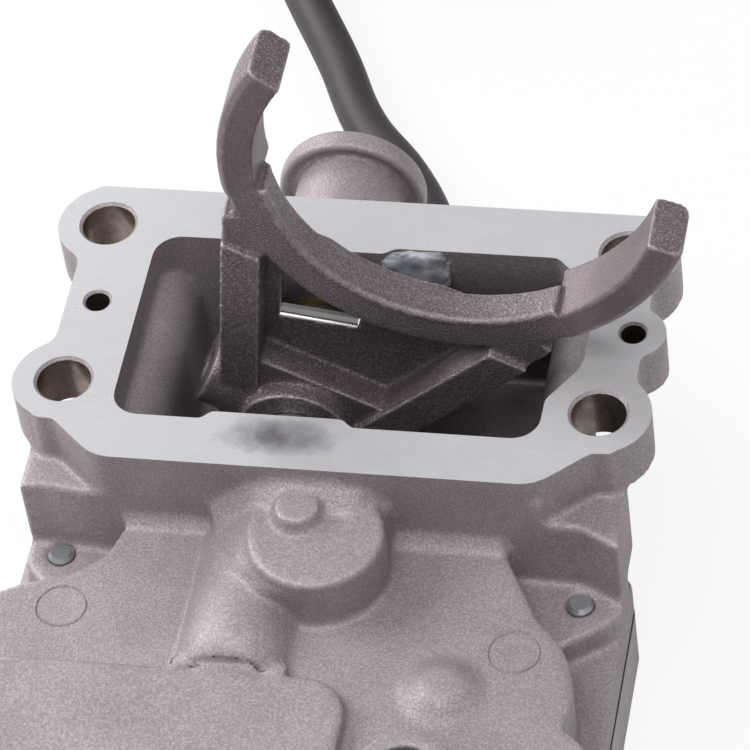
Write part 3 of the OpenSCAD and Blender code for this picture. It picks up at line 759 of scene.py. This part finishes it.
def turned(build: BMesh, centre: Pair, levels: Sequence[Pair], segments: int = 96) -> None:
    """Adds a closed turned form that stands along Z.

    Args:
        build: the bmesh that it is added to.
        centre: its axis, in millimetres along X and Y.
        levels: height and radius of each of its rims, from the lowest up, in millimetres.
        segments: the sides of each rim.
    """
    low, first = levels[0]
    place = Matrix.Translation(Vector((*centre, low)) * MM)
    rim = bmesh.ops.create_circle(build, cap_ends=True, radius=first * MM, segments=segments,
                                  matrix=place)["verts"]
    base = rim[0].link_faces[0]
    base.normal_flip()
    edges = list(base.edges)
    for (last_z, last_r), (z, radius) in zip(levels, levels[1:]):
        made = bmesh.ops.extrude_edge_only(build, edges=edges)["geom"]
        verts = [item for item in made if isinstance(item, BMVert)]
        edges = [item for item in made if isinstance(item, BMEdge)
                 and all(vert in verts for vert in item.verts)]
        grow = radius / last_r
        bmesh.ops.scale(build, vec=(grow, grow, 1.0), verts=verts,
                        space=Matrix.Translation(-Vector((*centre, 0)) * MM))
        bmesh.ops.translate(build, vec=(0, 0, (z - last_z) * MM), verts=verts)
    bmesh.ops.edgeloop_fill(build, edges=edges)


def hulled(build: BMesh, points: Iterable[Triple]) -> None:
    """Adds the closed convex form that a few corners span.

    Args:
        build: the bmesh that it is added to.
        points: the corners, in millimetres.
    """
    verts = [build.verts.new(Vector(point) * MM) for point in points]
    made = bmesh.ops.convex_hull(build, input=verts)
    spare = made["geom_interior"] + made["geom_unused"]
    inner = once(item for item in spare if isinstance(item, BMVert))
    bmesh.ops.delete(build, geom=inner, context="VERTS")


def standing(outline: Iterable[Pair], low: float, high: float) -> list[Triple]:
    """Corners of a convex outline at two heights."""
    return [(x, y, z) for x, y in outline for z in (low, high)]


def tidied(build: BMesh) -> BMesh:
    """Takes out the needle faces that a boolean leaves and splits its large faces."""
    bmesh.ops.remove_doubles(build, verts=build.verts, dist=SLIVER)
    bmesh.ops.dissolve_degenerate(build, edges=build.edges, dist=SLIVER)
    top = [face for face in build.faces if all(abs(vert.co.z) < LEVEL for vert in face.verts)]
    bmesh.ops.dissolve_limit(build, angle_limit=math.radians(1), verts=[],
                             edges=once(edge for face in top for edge in face.edges),
                             use_dissolve_boundaries=False)
    bmesh.ops.triangulate(build, faces=[face for face in build.faces if len(face.verts) > 4])
    return build


@dataclass(frozen=True)
class Hole:
    """One straight hole from the flange face.

    Attributes:
        centre: where it is on the face.
        radius: its radius.
        depth: how deep the wall that it passes reaches.
        chamfer: the width of its chamfered rim.
        filled: how far the metal that fills the cast hole reaches past its wall.
        bottom: how far above the wall's end that metal starts.
        flare: how far the drill widens above the face.
        slack: how far off the wall a point still counts as on it, outwards and downwards.
    """

    centre: Pair
    radius: float
    depth: float
    chamfer: float
    filled: float = 0.6
    bottom: float = 0.1
    flare: float = 1.0
    slack: Pair = (0.06, 0.05)

    def plug(self, build: BMesh, stock: float) -> None:
        """Fills the cast hole, so that it can be bored clean afterwards."""
        wide = self.radius + self.filled
        turned(build, self.centre, [(self.bottom - self.depth, wide), (stock, wide)], segments=32)

    def drill(self, build: BMesh, deeper: float) -> None:
        """Adds the drill's form to the cutting tools."""
        rim = self.radius + self.chamfer
        turned(build, self.centre, [(-self.depth - deeper, self.radius),
                                    (-self.chamfer, self.radius), (0.0, rim),
                                    (self.flare, rim + self.flare)])

    def holds(self, place: Vector) -> bool:
        """Whether a point lies on this hole's wall."""
        out, down = self.slack
        away = (place.xy / MM - Vector(self.centre)).length
        return away < self.radius + out and -self.depth - down < place.z / MM < -self.chamfer


@dataclass
class HousingCasting:
    """The main housing: a softly rounded casting with a flange face that is milled flat and bored.

    Attributes:
        skin: how the CAD solid is rounded over.
        stock, skin_band: the metal left on the flange for milling, and how far below the
            flange plane a corner is still raised by that much.
        bolt_wall, dowel_depth: the lengths of the bolt holes' and the dowel holes' walls.
        through, mill: how far a drill passes a wall, and the milling block's size in metres.
        wall_y, plateau, block_top: the front wall's face along Y, and the heights before it.
        bite: how far an added form reaches into what carries it.
        foot_fillets: left end, right end, floor and leg of each fillet at the wall's foot.
        boss_web, boss_brow: the upper corners of the gear boss's web to the shaft tube and of
            its brow at the wall.
        shaft, tube_skin: the fork shaft's axis along X and Z, and the radius about it inside
            which the tube stays as it is.
        tube_foot, tube_foot_low: the outline of the metal between tube and block, and its foot.
        scoop, scoop_half, scoop_depth, scoop_gap: the hollow before the tube, along X and Y.
        tube_slope, slope_share: where the tube's crest falls along Y, and its greatest share.
        slope_reach: how far past that end, to the sides and below the block's top metal moves.
        plateau_edge, plateau_low: the outline of the plateau's right edge, and its foot.
        dome, dome_radius, dome_height, dome_flat: the round boss on the plateau, and the share
            of its radius that is flat.
        dome_band: how far below and above the plateau its metal is found.
        pin_marks, pin_mark_radius, pin_mark_depth: the rings of the ejector pins.
        crease: the angle from which an edge is drawn sharp, in degrees.
    """

    skin: SoftSkin = field(default_factory=lambda: SoftSkin("main_housing", 0.7, 6, 0.4))
    stock: float = 2.0
    bolt_wall: float = 12.0
    dowel_depth: float = 9.0
    through: float = 3.0
    skin_band: float = 0.02
    mill: float = 0.4
    wall_y: float = -41.0
    plateau: float = -19.0
    block_top: float = -15.5
    bite: float = 1.0
    foot_fillets: tuple[tuple[float, float, float, float], ...] = (
        (-39.5, -22.5, -19.0, 2.4), (15.0, 37.0, -19.0, 2.6),
    )
    boss_web: tuple[Triple, ...] = (
        (-20.5, -40.0, -15.8), (-20.0, -50.0, -15.4), (-15.5, -58.0, -12.8), (-9.0, -62.5, -11.9),
        (-2.2, -64.0, -10.2), (2.1, -63.8, -7.2), (-8.2, -58.8, -7.7), (-11.6, -51.0, -7.5),
        (-11.0, -44.0, -7.3), (2.1, -40.0, -7.2),
    )
    boss_brow: tuple[Triple, ...] = (
        (-22.0, -40.0, -11.0), (-15.0, -40.0, -5.2), (-7.0, -40.0, -2.2), (3.0, -40.0, -1.8),
        (10.0, -40.0, -3.6), (15.0, -40.0, -8.5), (-20.5, -45.0, -14.5), (-14.0, -46.5, -11.2),
        (-8.0, -46.5, -7.2), (9.0, -46.5, -7.2), (14.5, -45.0, -10.0),
    )
    shaft: Pair = (-11.5, -24.0)
    tube_skin: float = 10.6
    tube_foot: tuple[Pair, ...] = ((-23.0, -76.0), (0.0, -76.0), (0.0, -81.0), (-23.0, -81.0))
    tube_foot_low: float = -25.0
    scoop: Pair = (-11.8, -78.6)
    scoop_half: Pair = (9.0, 4.6)
    scoop_depth: float = 2.2
    scoop_gap: float = 0.5
    tube_slope: Pair = (-70.0, -77.5)
    slope_share: float = 0.34
    slope_reach: Triple = (6.0, 14.0, 1.5)
    plateau_edge: tuple[Pair, ...] = (
        (35.2, -40.0), (38.4, -44.6), (39.9, -49.5), (41.6, -54.4), (46.7, -59.6),
        (38.0, -62.0), (34.0, -50.0),
    )
    plateau_low: float = -34.0
    dome: Pair = (30.5, -78.05)
    dome_radius: float = 9.6
    dome_height: float = 3.0
    dome_flat: float = 0.25
    dome_band: Pair = (0.6, 4.0)
    pin_marks: tuple[Pair, ...] = ((-47.8, -64.1), (43.0, -67.2))
    pin_mark_radius: float = 5.0
    pin_mark_depth: float = 0.3
    crease: float = 40.0

    def holes(self) -> list[Hole]:
        """The bolt holes and the dowel holes, from the record's two hole patterns."""
        mounts = {mount["name"]: mount for mount in frame["record"]["mounts"]}
        bolts, dowels = mounts["flange_bolts"]["dims"], mounts["dowel_holes"]
        half_x, half_y = bolts["spacing_x_mm"] / 2, bolts["spacing_y_mm"] / 2
        found = [Hole((x * half_x, y * half_y), bolts["hole_r_mm"], self.bolt_wall, 0.6)
                 for x in (-1, 1) for y in (-1, 1)]
        middle, half = dowels["pos_m"][0] / MM, dowels["dims"]["spacing_x_mm"] / 2
        wide, deep = dowels["dims"]["hole_r_mm"], self.dowel_depth
        return found + [Hole((middle + side * half, 0.0), wide, deep, 0.5) for side in (-1, 1)]

    def add_fillets(self, build: BMesh) -> None:
        """Adds the cast fillets and webs that the CAD solid leaves sharp."""
        bite, wall = self.bite, self.wall_y + self.bite
        for left, right, floor, leg in self.foot_fillets:
            hulled(build, [(x, y, z) for x in (left, right) for y, z in (
                (wall, floor - bite), (wall, floor + leg + bite),
                (self.wall_y - leg - bite, floor - bite))])
        for top in (self.boss_web, self.boss_brow):
            hulled(build, [*top, *((x, y, self.plateau - bite) for x, y, z in top)])
        hulled(build, standing(self.plateau_edge, self.plateau_low, self.plateau))
        hulled(build, standing(self.tube_foot, self.tube_foot_low, self.block_top))

    def shape_dome(self, build: BMesh) -> None:
        """Gives the round boss on the plateau its soft flank."""
        middle, (below, above) = Vector(self.dome), self.dome_band
        for vert in build.verts:
            away = (vert.co.xy / MM - middle).length / self.dome_radius
            if away < 1 and self.plateau - below < vert.co.z / MM < self.plateau + above:
                flank = min(max((away - self.dome_flat) / (1 - self.dome_flat), 0.0), 1.0)
                rise = 0.5 + 0.5 * math.cos(math.pi * flank)
                vert.co.z = (self.plateau + self.dome_height * rise) * MM

    def shape_tube_end(self, build: BMesh) -> None:
        """Slopes the shaft tube's crest down to its front end and scoops the block before it."""
        (start, end), (past, side, below) = self.tube_slope, self.slope_reach
        for vert in build.verts:
            x, y, z = vert.co / MM
            outside = math.hypot(x - self.shaft[0], z - self.shaft[1]) > self.tube_skin
            if (outside and self.block_top - below < z < 0 and end - past < y < start
                    and abs(x - self.scoop[0]) < side):
                drop = min((start - y) / (start - end), 1.0)
                if y > end - self.bite:
                    z -= self.slope_share * drop * drop * (z - self.plateau + self.bite)
                away = sum(((value - middle) / half) ** 2
                           for value, middle, half in zip((x, y), self.scoop, self.scoop_half))
                if away < 1 and y < end - self.scoop_gap:
                    z -= self.scoop_depth * (1 - away)
                vert.co.z = z * MM

    def pin_ring(self, build: BMesh, x: float, y: float) -> None:
        """Adds the ring that cuts one ejector pin's mark."""
        start = Vector((x + self.pin_mark_radius, y, self.plateau)) * MM
        ring = bmesh.ops.create_circle(
            build, segments=4, radius=self.pin_mark_depth * MM,
            matrix=Matrix.Translation(start) @ Matrix.Rotation(math.pi / 2, 4, "X"))["verts"]
        edges = once(edge for vert in ring for edge in vert.link_edges)
        bmesh.ops.spin(build, geom=ring + edges, cent=Vector((x, y, self.plateau)) * MM,
                       axis=(0, 0, 1), angle=math.tau, steps=64, use_merge=True)

    def cutters(self, holes: Sequence[Hole]) -> list[Object]:
        """Makes the milling block and the drills as two cutting tools."""
        block, drills = bmesh.new(), bmesh.new()
        bmesh.ops.create_cube(block, size=self.mill,
                              matrix=Matrix.Translation((0, 0, self.mill / 2)))
        for hole in holes:
            hole.drill(drills, self.through if hole.depth > self.dowel_depth else 0.0)
        for x, y in self.pin_marks:
            self.pin_ring(drills, x, y)
        bmesh.ops.recalc_face_normals(drills, faces=drills.faces)
        return [linked(name, mesh_of(name, build))
                for name, build in (("mill", block), ("drills", drills))]

    def mesh(self) -> Mesh:
        """Rounds the casting over, mills its flange face and bores its holes.

        Returns:
            The housing's mesh, with the milled face in slot 1 and the bores in slot 2.
        """
        holes = self.holes()
        build = self.skin.solid()
        for vert in build.verts:
            if vert.co.z > -self.skin_band * MM:
                vert.co.z += self.stock * MM
        for hole in holes:
            hole.plug(build, self.stock)
        self.add_fillets(build)
        build = self.skin.round_over(build)
        self.shape_dome(build)
        self.shape_tube_end(build)
        build = tidied(self.skin.cut(build, self.cutters(holes)))
        for face in build.faces:
            middle = face.calc_center_median()
            if middle.z > -LEVEL:
                face.material_index = 1
            elif any(hole.holds(middle) for hole in holes):
                face.material_index = 2
            face.smooth = face.material_index != 1
        sharp = math.radians(self.crease)
        for edge in build.edges:
            kinds = {face.material_index for face in edge.link_faces}
            edge.smooth = len(kinds) < 2 and edge.calc_face_angle(0.0) < sharp
        mesh = bpy.data.meshes.new("housing_casting")
        build.to_mesh(mesh)
        build.free()
        return mesh

    def build(self, palette: Palette) -> Object:
        """Makes the housing and lets it stand for its CAD node."""
        piece = put_in_scene("housing_casting", self.mesh(), Body.HOUSING, palette.pick(
            "cast_aluminium", "milled_face", "bored_hole"))
        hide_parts(self.skin.node)
        return piece


@dataclass
class ForkForging:
    """The shift fork: a rough forging with rounded edges and milled pads on its arms.

    Attributes:
        skin: how the CAD solid is rounded over.
        shaft: the shaft's axis, along X and Z.
        reach: from the shaft's axis to the sleeve's.
        lean: the fork's lean to the right at rest, in degrees.
        pad_angle: where the milled pads begin, from the fork's foot about the sleeve, in degrees.
        rough_rim: the outer radius of the rough stretch between the pads.
        throat: the radius of the fork's throat.
        front: the fork's front face, along Y.
        ridge: the radius of the worn ridge along the rough stretch.
        ridge_sunk: how far the ridge is sunk in along Y and towards the rim, in its radius.
        window: the corners of the window over the shaft, along X and Z of the upright fork.
        window_depth: from where to where that window is cut, along Y.
        facing: how squarely a face looks along Y or at the sleeve to count as milled.
    """

    skin: SoftSkin = field(default_factory=lambda: SoftSkin("shift_fork", 0.5, 4, 0.7))
    shaft: Pair = (-11.5, -24.0)
    reach: float = 80.5
    lean: float = 28.5
    pad_angle: float = 56.0
    rough_rim: float = 48.0
    throat: float = 37.5
    front: float = -8.0
    ridge: float = 1.0
    ridge_sunk: Pair = (0.7, 0.5)
    window: tuple[Pair, ...] = ((-13.6, 20.6), (-18.0, 33.0), (0.0, 35.0), (1.5, 26.0))
    window_depth: Pair = (-6.0, 8.0)
    facing: float = 0.6

    def at_rest(self, x: float, y: float, z: float) -> Vector:
        """A point of the upright fork's frame, leaned over as the fork rests, in millimetres."""
        turn = math.radians(self.lean)
        return Vector((self.shaft[0] + x * math.cos(turn) + z * math.sin(turn), y,
                       self.shaft[1] - x * math.sin(turn) + z * math.cos(turn)))

    def worn_ridge(self, build: BMesh) -> None:
        """Adds the proud ridge that the sleeve has worn bright along the rough rim's front."""
        centre = self.sleeve()
        forward, inward = (share * self.ridge for share in self.ridge_sunk)
        start = self.at_rest(0, self.front + forward, self.reach - self.throat - inward)
        foot_turn = Matrix.Rotation(math.radians(self.lean), 4, "Y")
        ring = bmesh.ops.create_circle(build, segments=10, radius=self.ridge * MM, cap_ends=True,
                                       matrix=Matrix.Translation(start * MM) @ foot_turn
                                       @ Matrix.Rotation(math.pi / 2, 4, "Y"))["verts"]
        swing = Matrix.Rotation(-math.radians(self.pad_angle), 3, "Y")
        bmesh.ops.rotate(build, verts=ring, cent=centre * MM, matrix=swing)
        face = ring[0].link_faces[0]
        bmesh.ops.spin(build, geom=[face], cent=centre * MM, axis=(0, 1, 0),
                       angle=2 * math.radians(self.pad_angle), steps=48)
        bmesh.ops.recalc_face_normals(build, faces=build.faces)

    def window_tool(self) -> Object:
        """Makes the tool that opens the window over the shaft to its full height."""
        build = bmesh.new()
        low, high = self.window_depth
        hulled(build, [tuple(self.at_rest(x, y, z)) for x, z in self.window for y in (low, high)])
        for face in build.faces:
            face.material_index = 2
        return linked("window", mesh_of("window", build))

    def sleeve(self) -> Vector:
        """The sleeve's axis at rest, as a point at Y 0, in millimetres."""
        turn = math.radians(self.lean)
        return Vector((self.shaft[0] + self.reach * math.sin(turn), 0.0,
                       self.shaft[1] + self.reach * math.cos(turn)))

    def milled(self, build: BMesh) -> None:
        """Cuts the mesh along the pads' lower ends and gives the milled sides their slot."""
        centre, turn = self.sleeve(), math.radians(self.lean)
        foot = Vector((-math.sin(turn), 0.0, -math.cos(turn)))
        for side in (-1, 1):
            swing = Matrix.Rotation(side * math.radians(self.pad_angle), 3, "Y")
            ray = swing @ foot
            across = Vector((0, 1, 0)).cross(ray)
            near = [face for face in build.faces
                    if (face.calc_center_median() / MM - centre).dot(ray) > 0]
            parts = near + once(edge for face in near for edge in face.edges)
            parts += once(vert for face in near for vert in face.verts)
            bmesh.ops.bisect_plane(build, geom=parts, plane_co=centre * MM, plane_no=across)
        for face in build.faces:
            away = face.calc_center_median() / MM - centre
            away.y = 0.0
            angle = math.degrees(away.angle(foot)) if away.length else 0.0
            inwards = face.normal.dot(away.normalized()) < -self.facing
            flat = abs(face.normal.y) > self.facing or inwards
            if (angle > self.pad_angle and away.length < self.rough_rim and flat
                    and not face.material_index):
                face.material_index = 1

    def build(self, palette: Palette) -> Object:
        """Makes the fork and lets it stand for its CAD node."""
        build = self.skin.solid()
        self.worn_ridge(build)
        build = self.skin.cut(self.skin.round_over(build), [self.window_tool()])
        self.milled(build)
        piece = put_in_scene("fork_forging", mesh_of("fork_forging", build), Body.FORK,
                             palette.pick("forged_steel", "milled_steel", "ground_steel"))
        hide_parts(self.skin.node)
        return piece


@dataclass(frozen=True)
class Grease:
    """A smear of pale grease that lies on a wall or a shaft.

    Attributes:
        name: the piece's name.
        middle: its middle.
        half: its half lengths along X, Y and Z.
        body: the body it sticks to.
        lumps: how high its lumps are and how close they lie, coarse and fine.
        round_share: how far it keeps a ball's form; the rest is squared off.
        squareness: the power that squares it off.
    """

    name: str
    middle: Triple
    half: Triple
    body: Body
    lumps: tuple[Pair, ...] = ((0.22, 1.6), (0.07, 5.0))
    round_share: float = 0.35
    squareness: int = 4

    def build(self, palette: Palette) -> Object:
        """Makes the smear: a flattened, lumpy drop whose edge thins out."""
        build = bmesh.new()
        bmesh.ops.create_icosphere(build, subdivisions=5, radius=1.0)
        for vert in build.verts:
            lump = 1.0
            for height, pace in self.lumps:
                lump += height * noise.noise(vert.co * pace)
            power = sum(abs(share) ** self.squareness for share in vert.co)
            boxy = 1 / max(power ** (1 / self.squareness), 0.1)
            vert.co *= lump * (self.round_share + (1 - self.round_share) * boxy)
        bmesh.ops.scale(build, vec=Vector(self.half) * MM, verts=build.verts)
        bmesh.ops.translate(build, vec=Vector(self.middle) * MM, verts=build.verts)
        return put_in_scene(self.name, mesh_of(self.name, build), self.body,
                            palette.pick("pale_grease"))


SMEARS = (Grease("grease_on_back_wall", (11.0, 18.6, -5.2), (7.2, 1.9, 5.0), Body.HOUSING),)


@dataclass
class Lead:
    """The sheathed lead: a run along the floor, a coil of two layers, and a tail to the plug.

    Attributes:
        diameter: the sheath's diameter.
        run: the points of the first stretch.
        coil_centre: the centre of the coil's lower layer.
        coil_radius: the middle radius of the coil.
        tail: the points of the last stretch.
        coil_turn: how far the coil winds clockwise, in degrees.
        coil_start: where on the coil the run comes in, in degrees.
        turn_points: points on each turn of the coil.
        climb: where on the coil the lead starts to climb and over how much it does, in degrees.
        length: its real length, in metres; not used.
    """

    diameter: float = 10.0
    run: tuple[Triple, ...] = (
        (6, 27, -51), (6, 46, -51), (5, 60, -52), (0, 76, -53), (-8, 90, -53), (-20, 105, -53),
        (-30, 125, -53), (-41, 145, -53), (-51, 164, -53), (-61.7, 183.8, -53),
    )
    coil_centre: Triple = (-18, 208, -53)
    coil_radius: float = 50.0
    tail: tuple[Triple, ...] = (
        (-18, 258, -43), (2, 258, -45), (22, 258, -49), (42, 258, -53), (66, 258, -53),
    )
    coil_turn: float = 479.0
    coil_start: float = 209.0
    turn_points: int = 18
    climb: Pair = (250.0, 90.0)
    length: float = 0.69

    def coil(self) -> list[Vector]:
        """Points of the coil between the run's end and the tail's start.

        The lower layer lies flat for three quarters of a turn, then the lead climbs by its own
        diameter before it passes over the place where it came in.

        Returns:
            The points, in millimetres.
        """
        centre, (start, climb) = Vector(self.coil_centre), self.climb
        steps = round(self.coil_turn / 360 * self.turn_points)
        points = []
        for step in range(1, steps):
            gone = self.coil_turn * step / steps
            angle = math.radians(self.coil_start - gone)
            rise = self.diameter * min(max((gone - start) / climb, 0.0), 1.0)
            points.append(centre + Vector((self.coil_radius * math.cos(angle),
                                           self.coil_radius * math.sin(angle), rise)))
        return points

    def build(self, palette: Palette) -> Object:
        points = [Vector(p) for p in self.run] + self.coil() + [Vector(p) for p in self.tail]
        curve = bpy.data.curves.new("lead_curve", "CURVE")
        curve.dimensions = "3D"
        curve.bevel_depth = self.diameter / 2 * MM
        curve.bevel_resolution = 6
        curve.resolution_u = 8
        curve.use_fill_caps = True
        spline = curve.splines.new("BEZIER")
        spline.bezier_points.add(len(points) - 1)
        for knot, point in zip(spline.bezier_points, points):
            knot.co = point * MM
            knot.handle_left_type = knot.handle_right_type = "AUTO"
        curve.materials.append(palette["lead_sheath"])
        piece = linked("sheathed_lead", curve)
        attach(piece, Body.HOUSING.value)
        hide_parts("lead", "lead_coil", "lead_tail")
        drawn = sum((b - a).length for a, b in zip(points, points[1:]))
        LOG.info("lead points give %.0f mm", drawn)
        return piece


@dataclass(frozen=True)
class PlainNodes:
    """CAD nodes that keep their own shape and take a finish."""

    finish_of: dict[str, str]

    @classmethod
    def from_record(cls, replaced: Iterable[str]) -> "PlainNodes":
        """Takes each node's finish from its material slot in the record.

        Args:
            replaced: nodes that a modelled piece stands for.

        Returns:
            The table of nodes and finishes.
        """
        rows = frame["record"]["subparts"]
        skip = set(replaced)
        return cls({row["node"]: row["material_slot"] for row in rows if row["node"] not in skip})

    def dress(self, palette: Palette) -> None:
        """Assigns the finishes."""
        for node, finish in self.finish_of.items():
            data = NODES[node].data
            data.materials.clear()
            data.materials.append(palette[finish])


# Camera, floor and light


@dataclass(frozen=True)
class Viewpoint:
    """The camera at the photograph's angle.

    Attributes:
        target: the point at the middle of the frame.
        azimuth: the camera's turn to the right of the motor end, in degrees.
        elevation: its height above the horizon, in degrees.
        roll: its turn about its own axis, in degrees.
        distance: how far it stands from the target.
        lens: its focal length, in millimetres of the sensor.
        sensor: the sensor's width.
        sight: how far it sees, in metres.
    """

    target: Triple = (6.23, -7.97, -8.43)
    azimuth: float = 16.292
    elevation: float = 47.586
    roll: float = -8.571
    distance: float = 921.0
    lens: float = 220.54
    sensor: float = 36.0
    sight: float = 20.0

    def build(self) -> None:
        """Makes the scene's camera."""
        turn, lift, roll = (math.radians(v) for v in (self.azimuth, self.elevation, self.roll))
        back = Vector((math.sin(turn) * math.cos(lift), -math.cos(turn) * math.cos(lift),
                       math.sin(lift)))
        level = Vector((math.cos(turn), math.sin(turn), 0.0))
        right = level * math.cos(roll) + back.cross(level) * math.sin(roll)
        axes = Matrix((right, back.cross(right), back)).transposed()
        data = bpy.data.cameras.new("camera")
        data.lens = self.lens
        data.sensor_width = self.sensor
        data.clip_end = self.sight
        camera = linked("camera", data)
        place = (Vector(self.target) + back * self.distance) * MM
        camera.matrix_world = Matrix.Translation(place) @ axes.to_4x4()
        bpy.context.scene.camera = camera


@dataclass(frozen=True)
class Studio:
    """The pale floor, the surroundings and the soft lamps.

    Attributes:
        floor_half, floor_gap: half the floor's side, and how far below the cover it lies.
        floor_white, floor_rough, floor_glow: its paleness and roughness, and the share of plain
            white in what the camera sees of it.
        surround, mirrored: the backdrop's strength on the object, and in its reflections.
        lamps: name, place, size and power in watts of each lamp.
    """

    floor_half: float = 4000.0
    floor_gap: float = 0.1
    floor_white: float = 0.9
    floor_rough: float = 0.9
    floor_glow: float = 0.88
    surround: float = 0.17
    mirrored: float = 0.4
    lamps: tuple[tuple[str, Triple, float, float], ...] = (
        ("key", (-1000, 100, 800), 600, 9.2),
        ("overhead", (-60, -380, 1150), 800, 7.2),
        ("back", (-800, 900, 450), 800, 6.5),
        ("right", (850, 250, 950), 700, 2.2),
        ("front", (300, -900, 500), 900, 0.5),
    )

    def floor(self) -> None:
        """Lays the floor under the housing's cover."""
        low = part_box("bottom_cover")[0][2]
        build = bmesh.new()
        bmesh.ops.create_grid(build, x_segments=1, y_segments=1, size=self.floor_half * MM,
                              matrix=Matrix.Translation((0, 0, low - self.floor_gap * MM)))
        sheet = linked("floor", mesh_of("floor", build))
        made, graph, shader = new_material("floor_white")
        shader.inputs["Base Color"].default_value = (*[self.floor_white] * 3, 1)
        shader.inputs["Roughness"].default_value = self.floor_rough
        glow = graph.node("ShaderNodeEmission", {"Color": (1, 1, 1, 1), "Strength": 1.0})
        seen = graph.node("ShaderNodeLightPath").outputs["Is Camera Ray"]
        blend = graph.node("ShaderNodeMixShader", {0: graph.times(seen, self.floor_glow),
                                                   1: shader.outputs[0], 2: glow.outputs[0]})
        graph.join(blend.outputs[0], graph.tree.nodes["Material Output"].inputs["Surface"])
        sheet.data.materials.append(made)

    def world(self) -> None:
        """Makes a white backdrop for camera and reflections, and a weaker light on the object."""
        world = bpy.data.worlds.new("surroundings")
        bpy.context.scene.world = world
        world.use_nodes = True
        graph = Graph(world.node_tree)
        ground = world.node_tree.nodes["Background"]
        ground.inputs["Color"].default_value = (1, 1, 1, 1)
        path = graph.node("ShaderNodeLightPath").outputs
        direct = graph.maths("MAXIMUM", path["Is Camera Ray"], path["Is Transmission Ray"])
        direct = graph.maths("MAXIMUM", direct, graph.times(path["Is Glossy Ray"], self.mirrored))
        graph.join(graph.span(direct, 0.0, 1.0, self.surround, 1.0), ground.inputs["Strength"])

    def lamp(self, name: str, place: Triple, size: float, power: float) -> None:
        """Hangs a soft square lamp that faces the object."""
        data = bpy.data.lights.new(name, "AREA")
        data.size = size * MM
        data.energy = power
        lamp = linked(name, data)
        spot = Vector(place) * MM
        facing = (-spot).to_track_quat("-Z", "Y").to_matrix().to_4x4()
        lamp.matrix_world = Matrix.Translation(spot) @ facing

    def build(self) -> None:
        """Sets up floor, surroundings, lamps and the view transform."""
        self.floor()
        self.world()
        for row in self.lamps:
            self.lamp(*row)
        bpy.context.scene.view_settings.view_transform = "Standard"


def main() -> None:
    """Builds the actuator's pieces in order."""
    logging.basicConfig(level=logging.INFO, format="%(name)s: %(message)s")
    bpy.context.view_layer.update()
    Viewpoint().build()
    palette = Palette.build()
    Lead().build(palette)
    LOG.info("lead laid")
    for part in (HousingCasting(), ForkForging()):
        piece = part.build(palette)
        LOG.info("%s has %d faces", piece.name, len(piece.data.polygons))
    for smear in SMEARS:
        LOG.info("%s laid on", smear.build(palette).name)
    replaced = ["main_housing", "shift_fork", "lead", "lead_coil", "lead_tail"]
    PlainNodes.from_record(replaced).dress(palette)
    Studio().build()


if __name__ == "__main__":
    main()
